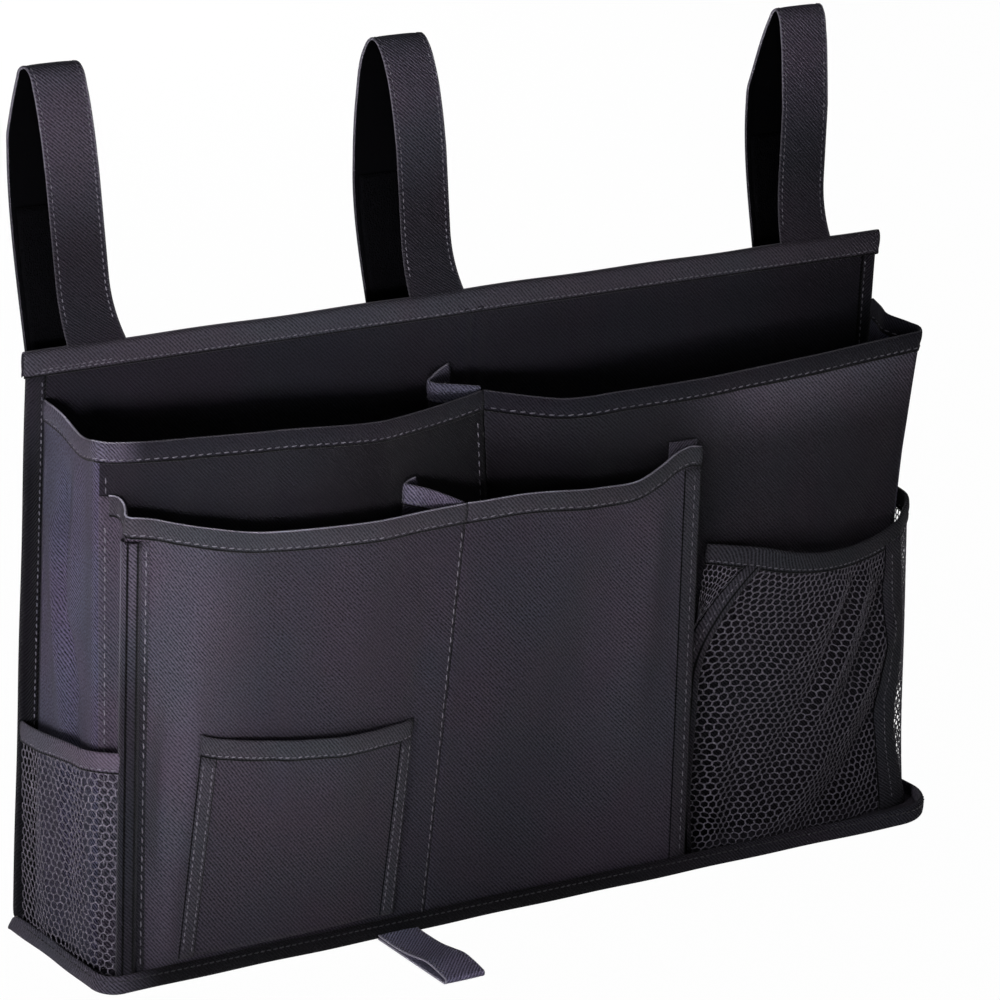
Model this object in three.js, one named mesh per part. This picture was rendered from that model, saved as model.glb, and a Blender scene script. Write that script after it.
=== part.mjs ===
// Hanging bedside caddy: a stiff back panel and base, pocket layers of bound cloth, two net pockets,
// three strap loops and a pull tab. Millimetres, +Z up, front to -Y, origin under the middle of the base.
import * as THREE from 'three';

// Cloth and clearances
const CLOTH = 0.8;
const HEM_CLOTH = 0.6;
const GAP = 0.3;
const HEM_DROP = 12;

// Back panel
const PANEL_WIDTH = 600;
const PANEL_TOP = 354;
const BACK_BOARD = 2;
const TOP_BINDING_DROP = 13;
const TOP_BINDING_OVERHANG = 4;
const EDGE_BINDING_WIDTH = 10;

// Base
const BASE_DEPTH = 104;
const BASE_BOARD = 2;
const BASE_BOARD_INSET = 3;
const BASE_RADIUS_LEFT = 12;
const BASE_RADIUS_RIGHT = 28;
const BASE_BINDING = 3;
const BASE_BINDING_HEIGHT = 11;

// Main pockets: depths are measured forward from the back panel
const MAIN_DEPTH_LEFT = 77;
const MAIN_DEPTH_SEAM = 40;
const MAIN_DEPTH_MIDDLE = 74;
const MAIN_DEPTH_RIGHT = 55;
const MAIN_FOOT_LEFT = 78;
const MAIN_FOOT_SEAM = 75;
const MAIN_FOOT_RIGHT = 71;
const MAIN_HEM_LEFT = 324;
const MAIN_HEM_SEAM = 306;
const MAIN_HEM_RIGHT = 309;
const MAIN_HEM_SAG = 5;
const MAIN_SEAM_X = -17;
const MAIN_SEAM_FOOT_X = -9;
const MAIN_FOOT_INSET_LEFT = 8;
const MAIN_FOOT_INSET_RIGHT = 10;
const GUSSET_DENT = 9;
const RIGHT_WAIST = 12;

// Divider between the main pockets
const MAIN_DIVIDER_RISE = 3;
const MAIN_DIVIDER_FOLD = 26;
const MAIN_DIVIDER_FOLD_DEPTH = 22;
const DIVIDER_SETBACK = 2.8;

// Front pockets
const FRONT_DEPTH = 100;
const FRONT_CROWN = 4;
const FRONT_DEPTH_SEAM = 92;
const FRONT_DEPTH_MIDDLE = 98;
const FRONT_TUCK_START = 0.66;
const FRONT_INSET_TOP = 9;
const FRONT_INSET_FOOT = 14;
const FRONT_SEAM_X = -59;
const FRONT_SEAM_FOOT_X = -81;
const FRONT_RIGHT_INSET = 188;
const FRONT_RIGHT_FOOT_INSET = 194;
const FRONT_HEM_LEFT = 287;
const FRONT_HEM_SEAM = 258;
const FRONT_HEM_RIGHT = 261;
const FRONT_GUSSET_TOP = 294;
const FRONT_PLEAT = 12;
const FRONT_FOLD_WIDTH = 18;
const FRONT_FOLD_RISE = 8;
const FRONT_FOLD_SLACK = 1.6;
const FRONT_DIVIDER_FOLD = 33;
const FRONT_DIVIDER_RISE = 12;
const FRONT_DIVIDER_RETURN = 12;
const CORNER_TAPE = 12;

// Patch pocket on the left front pocket
const PATCH_WIDTH = 148;
const PATCH_INSET_TOP = 46;
const PATCH_INSET_FOOT = 34;
const PATCH_TOP_LEFT = 150;
const PATCH_TOP_RIGHT = 132;
const PATCH_FOOT = 13;
const PATCH_BULGE = 9;
const PATCH_TAPE = 11;

// Nets
const NET_CLOTH = 0.8;
const NET_CELL = 18;
const NET_BAR = 2.2;
const NET_EDGE = 3;
const LEFT_NET_HEM_BACK = 136;
const LEFT_NET_HEM_FRONT = 146;
const LEFT_NET_BOW = 8;
const RIGHT_NET_HEM_LEFT = 199;
const RIGHT_NET_HEM_SAG = 9;
const RIGHT_NET_HEM_RIGHT = 192;
const RIGHT_NET_LEFT_REACH = 16;
const RIGHT_NET_LEFT_FOOT_REACH = 7;
const RIGHT_NET_CORNER_REACH = 46;
const RIGHT_NET_CORNER_DEPTH = 88;
const RIGHT_NET_CORNER_CURVE = 8;
const RIGHT_NET_CORNER_FOOT_REACH = 6;
const RIGHT_NET_CORNER_FOOT_DEPTH = 99;
const RIGHT_NET_EDGE_INSET = 17;
const RIGHT_NET_EDGE_DEPTH = 71;
const RIGHT_NET_EDGE_FOOT_INSET = 7;
const RIGHT_NET_EDGE_FOOT_DEPTH = 84;
const RIGHT_NET_BULGE = 12;
const RIGHT_NET_BULGE_FOOT = 3;
const RIGHT_NET_WAVE = 3;
const RIGHT_NET_WAVES = 3;
const RIGHT_NET_SIDE_BOW = 9;
const RIGHT_NET_SIDE_BOW_FOOT = 1;
const NET_TAPE = 9;

// Straps
const STRAP_WIDTH = 34;
const STRAP_FLARE = 4;
const STRAP_FLARE_LENGTH = 45;
const STRAP_CLOTH = 1.6;
const STRAP_CROWN_DEPTH = 14;
const STRAP_CROWN_DROP = 14;
const STRAP_BACK_DEPTH = 22;
const STRAP_BACK_DROP = 70;
const STRAP_TAIL_DROP = 72;
const LOOP_PATCH_WIDTH = 30;
const LOOP_PATCH_HEIGHT = 62;
const LOOP_PATCH = 1.2;
const HOOK_TAPE = 0.8;
const HOOK_TAPE_MARGIN = 3;
const LEFT_STRAP_INSET = 38;
const LEFT_STRAP_LEAN = -21;
const LEFT_STRAP_RISE = 163;
const MIDDLE_STRAP_X = -31;
const MIDDLE_STRAP_LEAN = -17;
const MIDDLE_STRAP_RISE = 155;
const RIGHT_STRAP_INSET = 59;
const RIGHT_STRAP_LEAN = -3;
const RIGHT_STRAP_RISE = 147;

// Pull tab
const TAB_X = -104;
const TAB_WIDTH = 27;
const TAB_LENGTH = 74;
const TAB_CLOTH = 1;
const TAB_PLY_GAP = 1.4;
const TAB_ARCH = 3;

// Derived places
const HALF_WIDTH = PANEL_WIDTH / 2;
const PANEL_STACK = 2 * CLOTH + BACK_BOARD + 2 * GAP;
const BASE_TOP = 2 * CLOTH + BASE_BOARD + 2 * GAP;
const WALL_FOOT = BASE_TOP + GAP;
const FACE_PITCH = CLOTH + GAP;
const HEM_REACH = CLOTH / 2 + GAP + HEM_CLOTH;
const BINDING_FACE = GAP + HEM_CLOTH;
const BACK_SEAT = BINDING_FACE + GAP + HEM_REACH;
const TOP_Z = PANEL_TOP + GAP + HEM_CLOTH;
const FRONT_LEFT_X = -HALF_WIDTH + FRONT_INSET_TOP;
const FRONT_LEFT_FOOT_X = -HALF_WIDTH + FRONT_INSET_FOOT;
const MAIN_LEFT_FOOT_X = -HALF_WIDTH + MAIN_FOOT_INSET_LEFT;
const MAIN_RIGHT_FOOT_X = HALF_WIDTH - MAIN_FOOT_INSET_RIGHT;
const FRONT_RIGHT_X = HALF_WIDTH - FRONT_RIGHT_INSET;
const FRONT_RIGHT_FOOT_X = HALF_WIDTH - FRONT_RIGHT_FOOT_INSET;

const TWILL = new THREE.MeshStandardMaterial({ color: '#38353f', roughness: 0.85, metalness: 0 });
const BINDING = new THREE.MeshStandardMaterial({ color: '#302d35', roughness: 0.8, metalness: 0 });
const NET = new THREE.MeshStandardMaterial({ color: '#29272b', roughness: 0.7, metalness: 0 });
const HOOK = new THREE.MeshStandardMaterial({ color: '#0d0d0f', roughness: 0.95, metalness: 0 });
const BOARD = new THREE.MeshStandardMaterial({ color: '#8a857c', roughness: 0.6, metalness: 0 });

const vec = (x, y, z) => new THREE.Vector3(x, y, z);
const mix = THREE.MathUtils.lerp;
const ease = (t, from, to) => THREE.MathUtils.smoothstep(t, from, to);
const arch = (t) => Math.sin(Math.PI * t);

// Points of a function of 0..1, in equal steps.
function run(steps, place) {
  return Array.from({ length: steps + 1 }, (_, i) => place(i / steps));
}

// The same corners with equal steps between each two.
function legs(corners, steps) {
  const leg = (from, to) => run(steps, (t) => from.clone().lerp(to, t)).slice(1);
  return [corners[0], ...corners.slice(1).flatMap((to, i) => leg(corners[i], to))];
}

// A closed solid between two grids of points, the outer and the inner face of a sheet.
function sheet(face, back) {
  const rows = face.length;
  const cols = face[0].length;
  const positions = [...face.flat(), ...back.flat()].flatMap((p) => p.toArray());
  const at = (side, i, j) => side * rows * cols + i * cols + j;
  const index = [];
  const quad = (a, b, c, d) => index.push(a, b, c, a, c, d);
  for (let i = 0; i < rows - 1; i += 1) {
    for (let j = 0; j < cols - 1; j += 1) {
      quad(at(0, i, j), at(0, i + 1, j), at(0, i + 1, j + 1), at(0, i, j + 1));
      quad(at(1, i, j), at(1, i, j + 1), at(1, i + 1, j + 1), at(1, i + 1, j));
    }
    quad(at(0, i, 0), at(1, i, 0), at(1, i + 1, 0), at(0, i + 1, 0));
    quad(at(0, i, cols - 1), at(0, i + 1, cols - 1), at(1, i + 1, cols - 1), at(1, i, cols - 1));
  }
  for (let j = 0; j < cols - 1; j += 1) {
    quad(at(0, 0, j), at(0, 0, j + 1), at(1, 0, j + 1), at(1, 0, j));
    quad(at(0, rows - 1, j), at(1, rows - 1, j), at(1, rows - 1, j + 1), at(0, rows - 1, j + 1));
  }
  return facingOut(positions, index);
}

// Turns the faces over where the enclosed volume comes out negative.
function facingOut(positions, index) {
  const corner = (k) => vec(...positions.slice(3 * index[k], 3 * index[k] + 3));
  let volume = 0;
  for (let k = 0; k < index.length; k += 3) {
    volume += corner(k).dot(corner(k + 1).cross(corner(k + 2)));
  }
  if (volume < 0) {
    index.reverse();
  }
  const geometry = new THREE.BufferGeometry();
  geometry.setAttribute('position', new THREE.Float32BufferAttribute(positions, 3));
  geometry.setIndex(index);
  geometry.computeVertexNormals();
  return geometry;
}

// Cloth that hangs between an upper and a lower line of points, with its outside on the right of the run.
function hang(upper, lower, swell = () => [0, 0]) {
  const last = upper.length - 1;
  const point = (i, v) => {
    const [dx, dy] = swell(i, v);
    return upper[i].clone().lerp(lower[i], v).add(vec(dx, dy, 0));
  };
  const side = (from, to) => vec(to.y - from.y, from.x - to.x, 0).normalize();
  const normal = (i, v) => {
    const here = point(i, v);
    const before = i > 0 ? side(point(i - 1, v), here) : side(here, point(i + 1, v));
    const after = i < last ? side(here, point(i + 1, v)) : before;
    const mitre = before.clone().add(after).normalize();
    return mitre.divideScalar(mitre.dot(before));
  };
  const sample = (u, v) => {
    const i = Math.min(Math.floor(u), last - 1);
    const part = u - i;
    return {
      point: point(i, v).lerp(point(i + 1, v), part),
      normal: normal(i, v).lerp(normal(i + 1, v), part),
    };
  };
  const drop = (u) => sample(u, 0).point.distanceTo(sample(u, 1).point);
  const pace = (i, v) => point(i, v).distanceTo(point(i + 1, v));
  return { last, point, sample, drop, pace };
}

function offset({ point, normal }, reach, rise = 0) {
  return point.clone().addScaledVector(normal, reach).setZ(point.z + rise);
}

// The places along a cloth from one station to another, drawn in by a gap at either end.
function stations(cloth, first, last, startGap, endGap) {
  const start = first + startGap / cloth.pace(Math.floor(first), 0);
  const end = last - endGap / cloth.pace(Math.ceil(last) - 1, 0);
  const between = [];
  for (let i = Math.floor(first) + 1; i < last; i += 1) {
    between.push(i);
  }
  return [start, ...between, end];
}

// A ply of a cloth between two distances from its middle surface, with a row at its hem's edge if hemmed.
function ply(cloth, spec = {}) {
  const { first = 0, last = cloth.last, startGap = 0, endGap = 0 } = spec;
  const { above = 0, hemmed = false, rows = 1, inner = -CLOTH / 2, outer = CLOTH / 2 } = spec;
  const grid = (reach) => stations(cloth, first, last, startGap, endGap).map((u) => {
    const start = (hemmed ? HEM_DROP : above) / cloth.drop(u);
    const levels = run(rows, (t) => mix(start, 1, t));
    return (hemmed ? [0, ...levels] : levels).map((v) => offset(cloth.sample(u, v), reach));
  });
  return sheet(grid(outer), grid(inner));
}

// A folded strip over the upper edge of a cloth.
function hem(cloth, spec = {}) {
  const { first = 0, last = cloth.last, startGap = 0, endGap = 0, wrap = CLOTH / 2, drop = HEM_DROP } = spec;
  const grid = (reach, rise) => stations(cloth, first, last, startGap, endGap).map((u) => {
    const high = cloth.sample(u, 0);
    const low = cloth.sample(u, drop / cloth.drop(u));
    return [offset(low, reach), offset(high, reach, rise), offset(high, -reach, rise), offset(low, -reach)];
  });
  const near = wrap + GAP;
  return sheet(grid(near + HEM_CLOTH, GAP + HEM_CLOTH), grid(near, GAP));
}

// A doubled band along the upper edge of a net.
function band(cloth) {
  const reach = NET_CLOTH / 2 + HEM_CLOTH;
  const grid = (side) => stations(cloth, 0, cloth.last, 0, 0).map((u) => {
    const foot = HEM_DROP / cloth.drop(u);
    return [offset(cloth.sample(u, 0), side), offset(cloth.sample(u, foot), side)];
  });
  return sheet(grid(reach), grid(-reach));
}

// The faces of a flat outline with gaps. Sides shared by two faces are turned until both are well shaped.
function flatFaces(contour, holes) {
  const points = [contour, ...holes].flat();
  const faces = THREE.ShapeUtils.triangulateShape(contour, holes);
  const spread = (tip, a, b) => {
    const towards = (k) => points[k].clone().sub(points[tip]);
    return towards(a).angleTo(towards(b));
  };
  let turned = true;
  while (turned) {
    turned = false;
    const sides = new Map();
    faces.forEach((face, f) => face.forEach((a, k) => {
      const b = face[(k + 1) % 3];
      sides.set([a, b].join(), { f, a, b, tip: face[(k + 2) % 3] });
    }));
    const settled = new Set();
    for (const { f, a, b, tip } of sides.values()) {
      const other = sides.get([b, a].join());
      const free = other && !settled.has(f) && !settled.has(other.f);
      if (free && spread(tip, a, b) + spread(other.tip, a, b) > Math.PI + 1e-6) {
        faces[f] = [tip, a, other.tip];
        faces[other.f] = [other.tip, b, tip];
        settled.add(f).add(other.f);
        turned = true;
      }
    }
  }
  return faces;
}

// A net below a cloth's hem: a flat sheet with rows of six-sided gaps, laid on the cloth's own surface.
// Its edges bow in by a hair, so that every point on them bends with the cloth.
const NET_SIDE_STEPS = 8;
const NET_EDGE_BOW = 0.01;
function net(cloth, first, last, startGap = 0, endGap = 0) {
  const places = stations(cloth, first, last, startGap, endGap);
  const start = places[0];
  const span = places.at(-1) - start;
  const shares = places.map((u) => (u - start) / span);
  const middle = places.map((u) => cloth.sample(u, 0.5).point);
  const width = middle.slice(1).reduce((sum, p, i) => sum + p.distanceTo(middle[i]), 0);
  const height = cloth.drop(start + span / 2) - HEM_DROP - GAP;
  const inset = (t) => NET_EDGE_BOW * arch(t);
  const contour = [
    ...shares.slice(0, -1).map((t) => new THREE.Vector2(width * t, inset(t))),
    ...run(NET_SIDE_STEPS, (t) => new THREE.Vector2(width - inset(t), height * t)).slice(0, -1),
    ...shares.slice(1).reverse().map((t) => new THREE.Vector2(width * t, height - inset(t))),
    ...run(NET_SIDE_STEPS, (t) => new THREE.Vector2(inset(t), height * (1 - t))).slice(0, -1),
  ];
  const columns = Math.max(1, Math.floor((width - 2 * NET_EDGE) / NET_CELL - 0.5));
  const cell = Math.min(NET_CELL, (width - 2 * NET_EDGE) / (columns + 0.5));
  const rowPitch = cell * Math.sin(Math.PI / 3);
  const radius = (cell - NET_BAR) / (2 * Math.cos(Math.PI / 6));
  const rows = Math.floor((height - 2 * NET_EDGE - 2 * radius) / rowPitch) + 1;
  const left = (width - (columns - 0.5) * cell) / 2;
  const foot = (height - (rows - 1) * rowPitch) / 2;
  const holes = [];
  for (let row = 0; row < rows; row += 1) {
    for (let column = 0; column < columns; column += 1) {
      const x = left + (column + 0.5 * (row % 2)) * cell;
      const y = foot + row * rowPitch;
      holes.push([0, 1, 2, 3, 4, 5].map((k) => {
        const angle = k * Math.PI / 3;
        return new THREE.Vector2(x - radius * Math.sin(angle), y + radius * Math.cos(angle));
      }));
    }
  }
  const points = [contour, ...holes].flat();
  const face = (reach) => points.flatMap(({ x, y }) => {
    const u = start + span * x / width;
    const top = (HEM_DROP + GAP) / cloth.drop(u);
    return offset(cloth.sample(u, mix(1, top, y / height)), reach).toArray();
  });
  const faces = flatFaces(contour, holes);
  const sides = faces.flatMap(([a, b, c]) => [[a, b], [b, c], [c, a]]);
  const known = new Set(sides.map((side) => side.join()));
  const rim = sides.filter(([a, b]) => !known.has([b, a].join()));
  const back = points.length;
  return facingOut([...face(NET_CLOTH / 2), ...face(-NET_CLOTH / 2)], [
    ...faces.flat(),
    ...faces.flatMap(([a, b, c]) => [c + back, b + back, a + back]),
    ...rim.flatMap(([a, b]) => [b, a, a + back, b, a + back, b + back]),
  ]);
}

const caddy = new THREE.Group();
caddy.position.y = (BASE_DEPTH - PANEL_STACK) / 2;

function add(name, geometry, material) {
  const mesh = new THREE.Mesh(geometry, material);
  mesh.name = name;
  caddy.add(mesh);
  return mesh;
}

function box(name, material, low, high) {
  const size = high.clone().sub(low);
  const mesh = add(name, new THREE.BoxGeometry(size.x, size.y, size.z), material);
  mesh.position.copy(low).addScaledVector(size, 0.5);
}

// Base: two cloths and a board, with rounded front corners, and a binding round the edge.
function baseEdge(inset) {
  const left = -HALF_WIDTH + inset;
  const right = HALF_WIDTH - inset;
  const front = -BASE_DEPTH + inset;
  const leftRadius = BASE_RADIUS_LEFT - inset;
  const rightRadius = BASE_RADIUS_RIGHT - inset;
  const turn = (x, y, radius, from) => run(5, (t) => {
    const angle = from + t * Math.PI / 2;
    return vec(x + radius * Math.cos(angle), y + radius * Math.sin(angle), 0);
  });
  return [
    vec(left, PANEL_STACK - inset, 0),
    ...turn(left + leftRadius, front + leftRadius, leftRadius, Math.PI),
    ...turn(right - rightRadius, front + rightRadius, rightRadius, -Math.PI / 2),
    vec(right, PANEL_STACK - inset, 0),
  ];
}

function basePly(name, material, inset, low, thickness) {
  const shape = new THREE.Shape(baseEdge(inset).map((p) => new THREE.Vector2(p.x, p.y)));
  const geometry = new THREE.ExtrudeGeometry(shape, { depth: thickness, bevelEnabled: false });
  add(name, geometry, material).position.z = low;
}

basePly('base_lower_cloth', TWILL, 0, 0, CLOTH);
basePly('base_board', BOARD, BASE_BOARD_INSET, CLOTH + GAP, BASE_BOARD);
basePly('base_upper_cloth', TWILL, 0, BASE_TOP - CLOTH, CLOTH);
const bindingLine = baseEdge(-GAP - BASE_BINDING / 2);
const baseBinding = hang(bindingLine.map((p) => p.clone().setZ(BASE_BINDING_HEIGHT)), bindingLine);
add('base_binding', ply(baseBinding, { inner: -BASE_BINDING / 2, outer: BASE_BINDING / 2 }), BINDING);

// Back panel: a board between two cloths, bound along its top and both sides.
function panelPly(name, material, near, far) {
  box(name, material, vec(-HALF_WIDTH, near, WALL_FOOT), vec(HALF_WIDTH, far, PANEL_TOP));
}
panelPly('back_front_cloth', TWILL, 0, CLOTH);
panelPly('back_board', BOARD, CLOTH + GAP, CLOTH + GAP + BACK_BOARD);
panelPly('back_rear_cloth', TWILL, PANEL_STACK - CLOTH, PANEL_STACK);
const bindingEnd = HALF_WIDTH + TOP_BINDING_OVERHANG;
const panelLine = (z) => [-bindingEnd, bindingEnd].map((x) => vec(x, PANEL_STACK / 2, z));
const panelEdge = hang(panelLine(PANEL_TOP), panelLine(WALL_FOOT));
add('top_binding', hem(panelEdge, { wrap: PANEL_STACK / 2, drop: TOP_BINDING_DROP }), BINDING);
for (const [name, sign] of [['left', -1], ['right', 1]]) {
  const edge = sign * HALF_WIDTH;
  const lip = edge - sign * EDGE_BINDING_WIDTH;
  const near = [-GAP, PANEL_STACK + GAP];
  const far = [near[0] - HEM_CLOTH, near[1] + HEM_CLOTH];
  const inside = edge + sign * GAP;
  const outside = inside + sign * HEM_CLOTH;
  const corners = [
    [lip, far[0]], [outside, far[0]], [outside, far[1]], [lip, far[1]],
    [lip, near[1]], [inside, near[1]], [inside, near[0]], [lip, near[0]],
  ];
  const section = new THREE.Shape(corners.map(([x, y]) => new THREE.Vector2(x, y)));
  const foot = BASE_BINDING_HEIGHT + GAP;
  const length = PANEL_TOP - TOP_BINDING_DROP - GAP - foot;
  const geometry = new THREE.ExtrudeGeometry(section, { depth: length, bevelEnabled: false });
  add(`${name}_edge_binding`, geometry, BINDING).position.z = foot;
}

// Main pockets: one bound strip from the left edge of the back panel, round the front, to its right edge.
const GUSSET_STEPS = 4;
const FRONT_STEPS = 9;
const mainSeamAt = GUSSET_STEPS + FRONT_STEPS;
const mainUpper = [
  ...run(GUSSET_STEPS, (t) => vec(
    -HALF_WIDTH,
    mix(-BACK_SEAT, -MAIN_DEPTH_LEFT, t),
    MAIN_HEM_LEFT,
  )).slice(0, -1),
  ...run(FRONT_STEPS, (t) => vec(
    mix(-HALF_WIDTH, MAIN_SEAM_X, t),
    -mix(MAIN_DEPTH_LEFT, MAIN_DEPTH_SEAM, ease(t, 0.55, 1.1) / ease(1, 0.55, 1.1)),
    mix(MAIN_HEM_LEFT, MAIN_HEM_SEAM, Math.sqrt(t)),
  )).slice(0, -1),
  ...run(FRONT_STEPS, (t) => vec(
    mix(MAIN_SEAM_X, HALF_WIDTH, t),
    -mix(mix(MAIN_DEPTH_SEAM, MAIN_DEPTH_MIDDLE, ease(t, -0.1, 0.36)), MAIN_DEPTH_RIGHT, ease(t, 0.5, 1)),
    mix(MAIN_HEM_SEAM, MAIN_HEM_RIGHT, t) - MAIN_HEM_SAG * arch(Math.cbrt(t)),
  )).slice(0, -1),
  ...run(GUSSET_STEPS, (t) => vec(HALF_WIDTH, mix(-MAIN_DEPTH_RIGHT, -BACK_SEAT, t), MAIN_HEM_RIGHT)),
];
const mainLower = [
  ...run(GUSSET_STEPS, (t) => vec(
    MAIN_LEFT_FOOT_X,
    mix(-BACK_SEAT, -MAIN_FOOT_LEFT, t),
    WALL_FOOT,
  )).slice(0, -1),
  ...run(FRONT_STEPS, (t) => vec(
    mix(MAIN_LEFT_FOOT_X, MAIN_SEAM_FOOT_X, t),
    -mix(MAIN_FOOT_LEFT, MAIN_FOOT_SEAM, t),
    WALL_FOOT,
  )).slice(0, -1),
  ...run(FRONT_STEPS, (t) => vec(
    mix(MAIN_SEAM_FOOT_X, MAIN_RIGHT_FOOT_X, t),
    -mix(MAIN_FOOT_SEAM, MAIN_FOOT_RIGHT, t),
    WALL_FOOT,
  )).slice(0, -1),
  ...run(GUSSET_STEPS, (t) => vec(MAIN_RIGHT_FOOT_X, mix(-MAIN_FOOT_RIGHT, -BACK_SEAT, t), WALL_FOOT)),
];
// The gussets fold in a little, and the right front corner is drawn in at half height.
function mainSwell(i, v) {
  const rightCorner = mainSeamAt + FRONT_STEPS;
  const leftFold = i < GUSSET_STEPS ? arch(i / GUSSET_STEPS) : 0;
  const rightFold = i > rightCorner ? arch((i - rightCorner) / GUSSET_STEPS) : 0;
  const towardsCorner = ease(i, mainSeamAt + FRONT_STEPS / 2, rightCorner);
  const corner = i <= rightCorner ? towardsCorner : (mainUpper.length - 1 - i) / GUSSET_STEPS;
  return [(leftFold - rightFold) * GUSSET_DENT * (1 - v * v) - corner * RIGHT_WAIST * arch(v), 0];
}
const mainCloth = hang(mainUpper, mainLower, mainSwell);
const MAIN_ROWS = 4;
const mainPly = { rows: MAIN_ROWS, hemmed: true };
add('main_pocket_left', ply(mainCloth, { last: mainSeamAt, endGap: GAP, ...mainPly }), TWILL);
add('main_pocket_right', ply(mainCloth, { first: mainSeamAt, startGap: GAP, ...mainPly }), TWILL);
add('main_hem_left', hem(mainCloth, { last: mainSeamAt, endGap: GAP }), BINDING);
add('main_hem_right', hem(mainCloth, { first: mainSeamAt, startGap: GAP }), BINDING);

// Divider of the main pockets: folded cloth from the front seam to the back panel.
const DIVIDER_STEPS = 3;
const mainDivider = hang(
  legs([
    vec(MAIN_SEAM_X, -MAIN_DEPTH_SEAM + DIVIDER_SETBACK, MAIN_HEM_SEAM + MAIN_DIVIDER_RISE),
    vec(MAIN_SEAM_X - MAIN_DIVIDER_FOLD, -MAIN_DIVIDER_FOLD_DEPTH, MAIN_HEM_SEAM + MAIN_DIVIDER_RISE),
    vec(MAIN_SEAM_X, -HEM_REACH - GAP, MAIN_HEM_SEAM + 2 * MAIN_DIVIDER_RISE),
  ], DIVIDER_STEPS),
  legs([
    vec(MAIN_SEAM_FOOT_X, -MAIN_FOOT_SEAM + DIVIDER_SETBACK, WALL_FOOT),
    vec(MAIN_SEAM_FOOT_X - MAIN_DIVIDER_FOLD, -MAIN_FOOT_SEAM / 2, WALL_FOOT),
    vec(MAIN_SEAM_FOOT_X, -HEM_REACH - GAP, WALL_FOOT),
  ], DIVIDER_STEPS),
);
add('main_divider', ply(mainDivider, { rows: 2, hemmed: true }), TWILL);
add('main_divider_hem', hem(mainDivider), BINDING);

// How far forward the outer face of the main pocket lies at a place along its front, for what rests on it.
function mainFace(x, z) {
  const onLeft = x < MAIN_SEAM_X;
  const corner = onLeft ? GUSSET_STEPS : mainUpper.length - 1 - GUSSET_STEPS;
  const share = (x - MAIN_SEAM_X) / (mainUpper[corner].x - MAIN_SEAM_X);
  const u = mix(mainSeamAt, corner, share);
  const top = mainCloth.sample(u, 0).point.z;
  return -mainCloth.sample(u, (top - z) / (top - WALL_FOOT)).point.y + CLOTH / 2;
}

// Front pockets: a second strip with a short pleated gusset at the left and a flat fold at the right.
const PLEAT_STEPS = 2;
const FRONT_RIGHT_STEPS = 7;
const FRONT_ROWS = 4;
const frontLeftShare = CORNER_TAPE / (FRONT_SEAM_X - FRONT_LEFT_X);
const frontRightShare = CORNER_TAPE / (FRONT_RIGHT_X - FRONT_SEAM_X);
const frontSeamAt = PLEAT_STEPS + 1 + FRONT_STEPS;
// Stations that fall on the inner edge of the tape beside the left corner, and of the tape at the right end.
function frontLeftRun(place) {
  return [place(0), ...run(FRONT_STEPS, (t) => place(mix(frontLeftShare, 1, t)))];
}
function frontRightRun(place) {
  return [...run(FRONT_RIGHT_STEPS, (t) => place(mix(0, 1 - frontRightShare, t))), place(1)];
}
const foldStack = 2 * FACE_PITCH + FRONT_FOLD_SLACK + HEM_REACH;
const frontRightDepth = mainFace(FRONT_RIGHT_X, FRONT_HEM_RIGHT) + foldStack;
const frontMiddleDepth = (t) => mix(FRONT_DEPTH_SEAM, FRONT_DEPTH_MIDDLE, ease(t, 0, 0.5));
const pleatSeat = MAIN_DEPTH_LEFT + FACE_PITCH;
const pleatSeatFoot = MAIN_FOOT_LEFT + FACE_PITCH;
const frontFoot = (x) => vec(x, -FRONT_DEPTH, WALL_FOOT);
const frontCloth = hang(
  [
    vec(-HALF_WIDTH + CLOTH, -pleatSeat, FRONT_GUSSET_TOP),
    vec(-HALF_WIDTH + CLOTH + FRONT_PLEAT, -mix(pleatSeat, FRONT_DEPTH, 0.4), FRONT_GUSSET_TOP),
    ...frontLeftRun((t) => vec(
      mix(FRONT_LEFT_X, FRONT_SEAM_X, t),
      -mix(FRONT_DEPTH, FRONT_DEPTH_SEAM, ease(t, 0.5, 1)) - FRONT_CROWN * arch(t),
      mix(FRONT_HEM_LEFT, FRONT_HEM_SEAM, 1 - (1 - t) ** 3),
    )).slice(0, -1),
    ...frontRightRun((t) => vec(
      mix(FRONT_SEAM_X, FRONT_RIGHT_X, t),
      -mix(frontMiddleDepth(t), frontRightDepth, ease(t, FRONT_TUCK_START, 1)),
      mix(FRONT_HEM_SEAM, FRONT_HEM_RIGHT, ease(t, 0.5, 1)),
    )),
  ],
  [
    vec(MAIN_LEFT_FOOT_X + CLOTH, -pleatSeatFoot, WALL_FOOT),
    vec(MAIN_LEFT_FOOT_X + CLOTH + FRONT_PLEAT, -mix(pleatSeatFoot, FRONT_DEPTH, 0.4), WALL_FOOT),
    ...frontLeftRun((t) => frontFoot(mix(FRONT_LEFT_FOOT_X, FRONT_SEAM_FOOT_X, t))).slice(0, -1),
    ...frontRightRun((t) => frontFoot(mix(FRONT_SEAM_FOOT_X, FRONT_RIGHT_FOOT_X, t))),
  ],
);
const frontPly = { rows: FRONT_ROWS, hemmed: true };
add('front_pocket_left', ply(frontCloth, { last: frontSeamAt, endGap: GAP, ...frontPly }), TWILL);
add('front_pocket_right', ply(frontCloth, { first: frontSeamAt, startGap: GAP, ...frontPly }), TWILL);
add('front_hem_left', hem(frontCloth, { first: 1, last: frontSeamAt, endGap: GAP }), BINDING);
add('front_hem_right', hem(frontCloth, { first: frontSeamAt, startGap: GAP }), BINDING);

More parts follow.
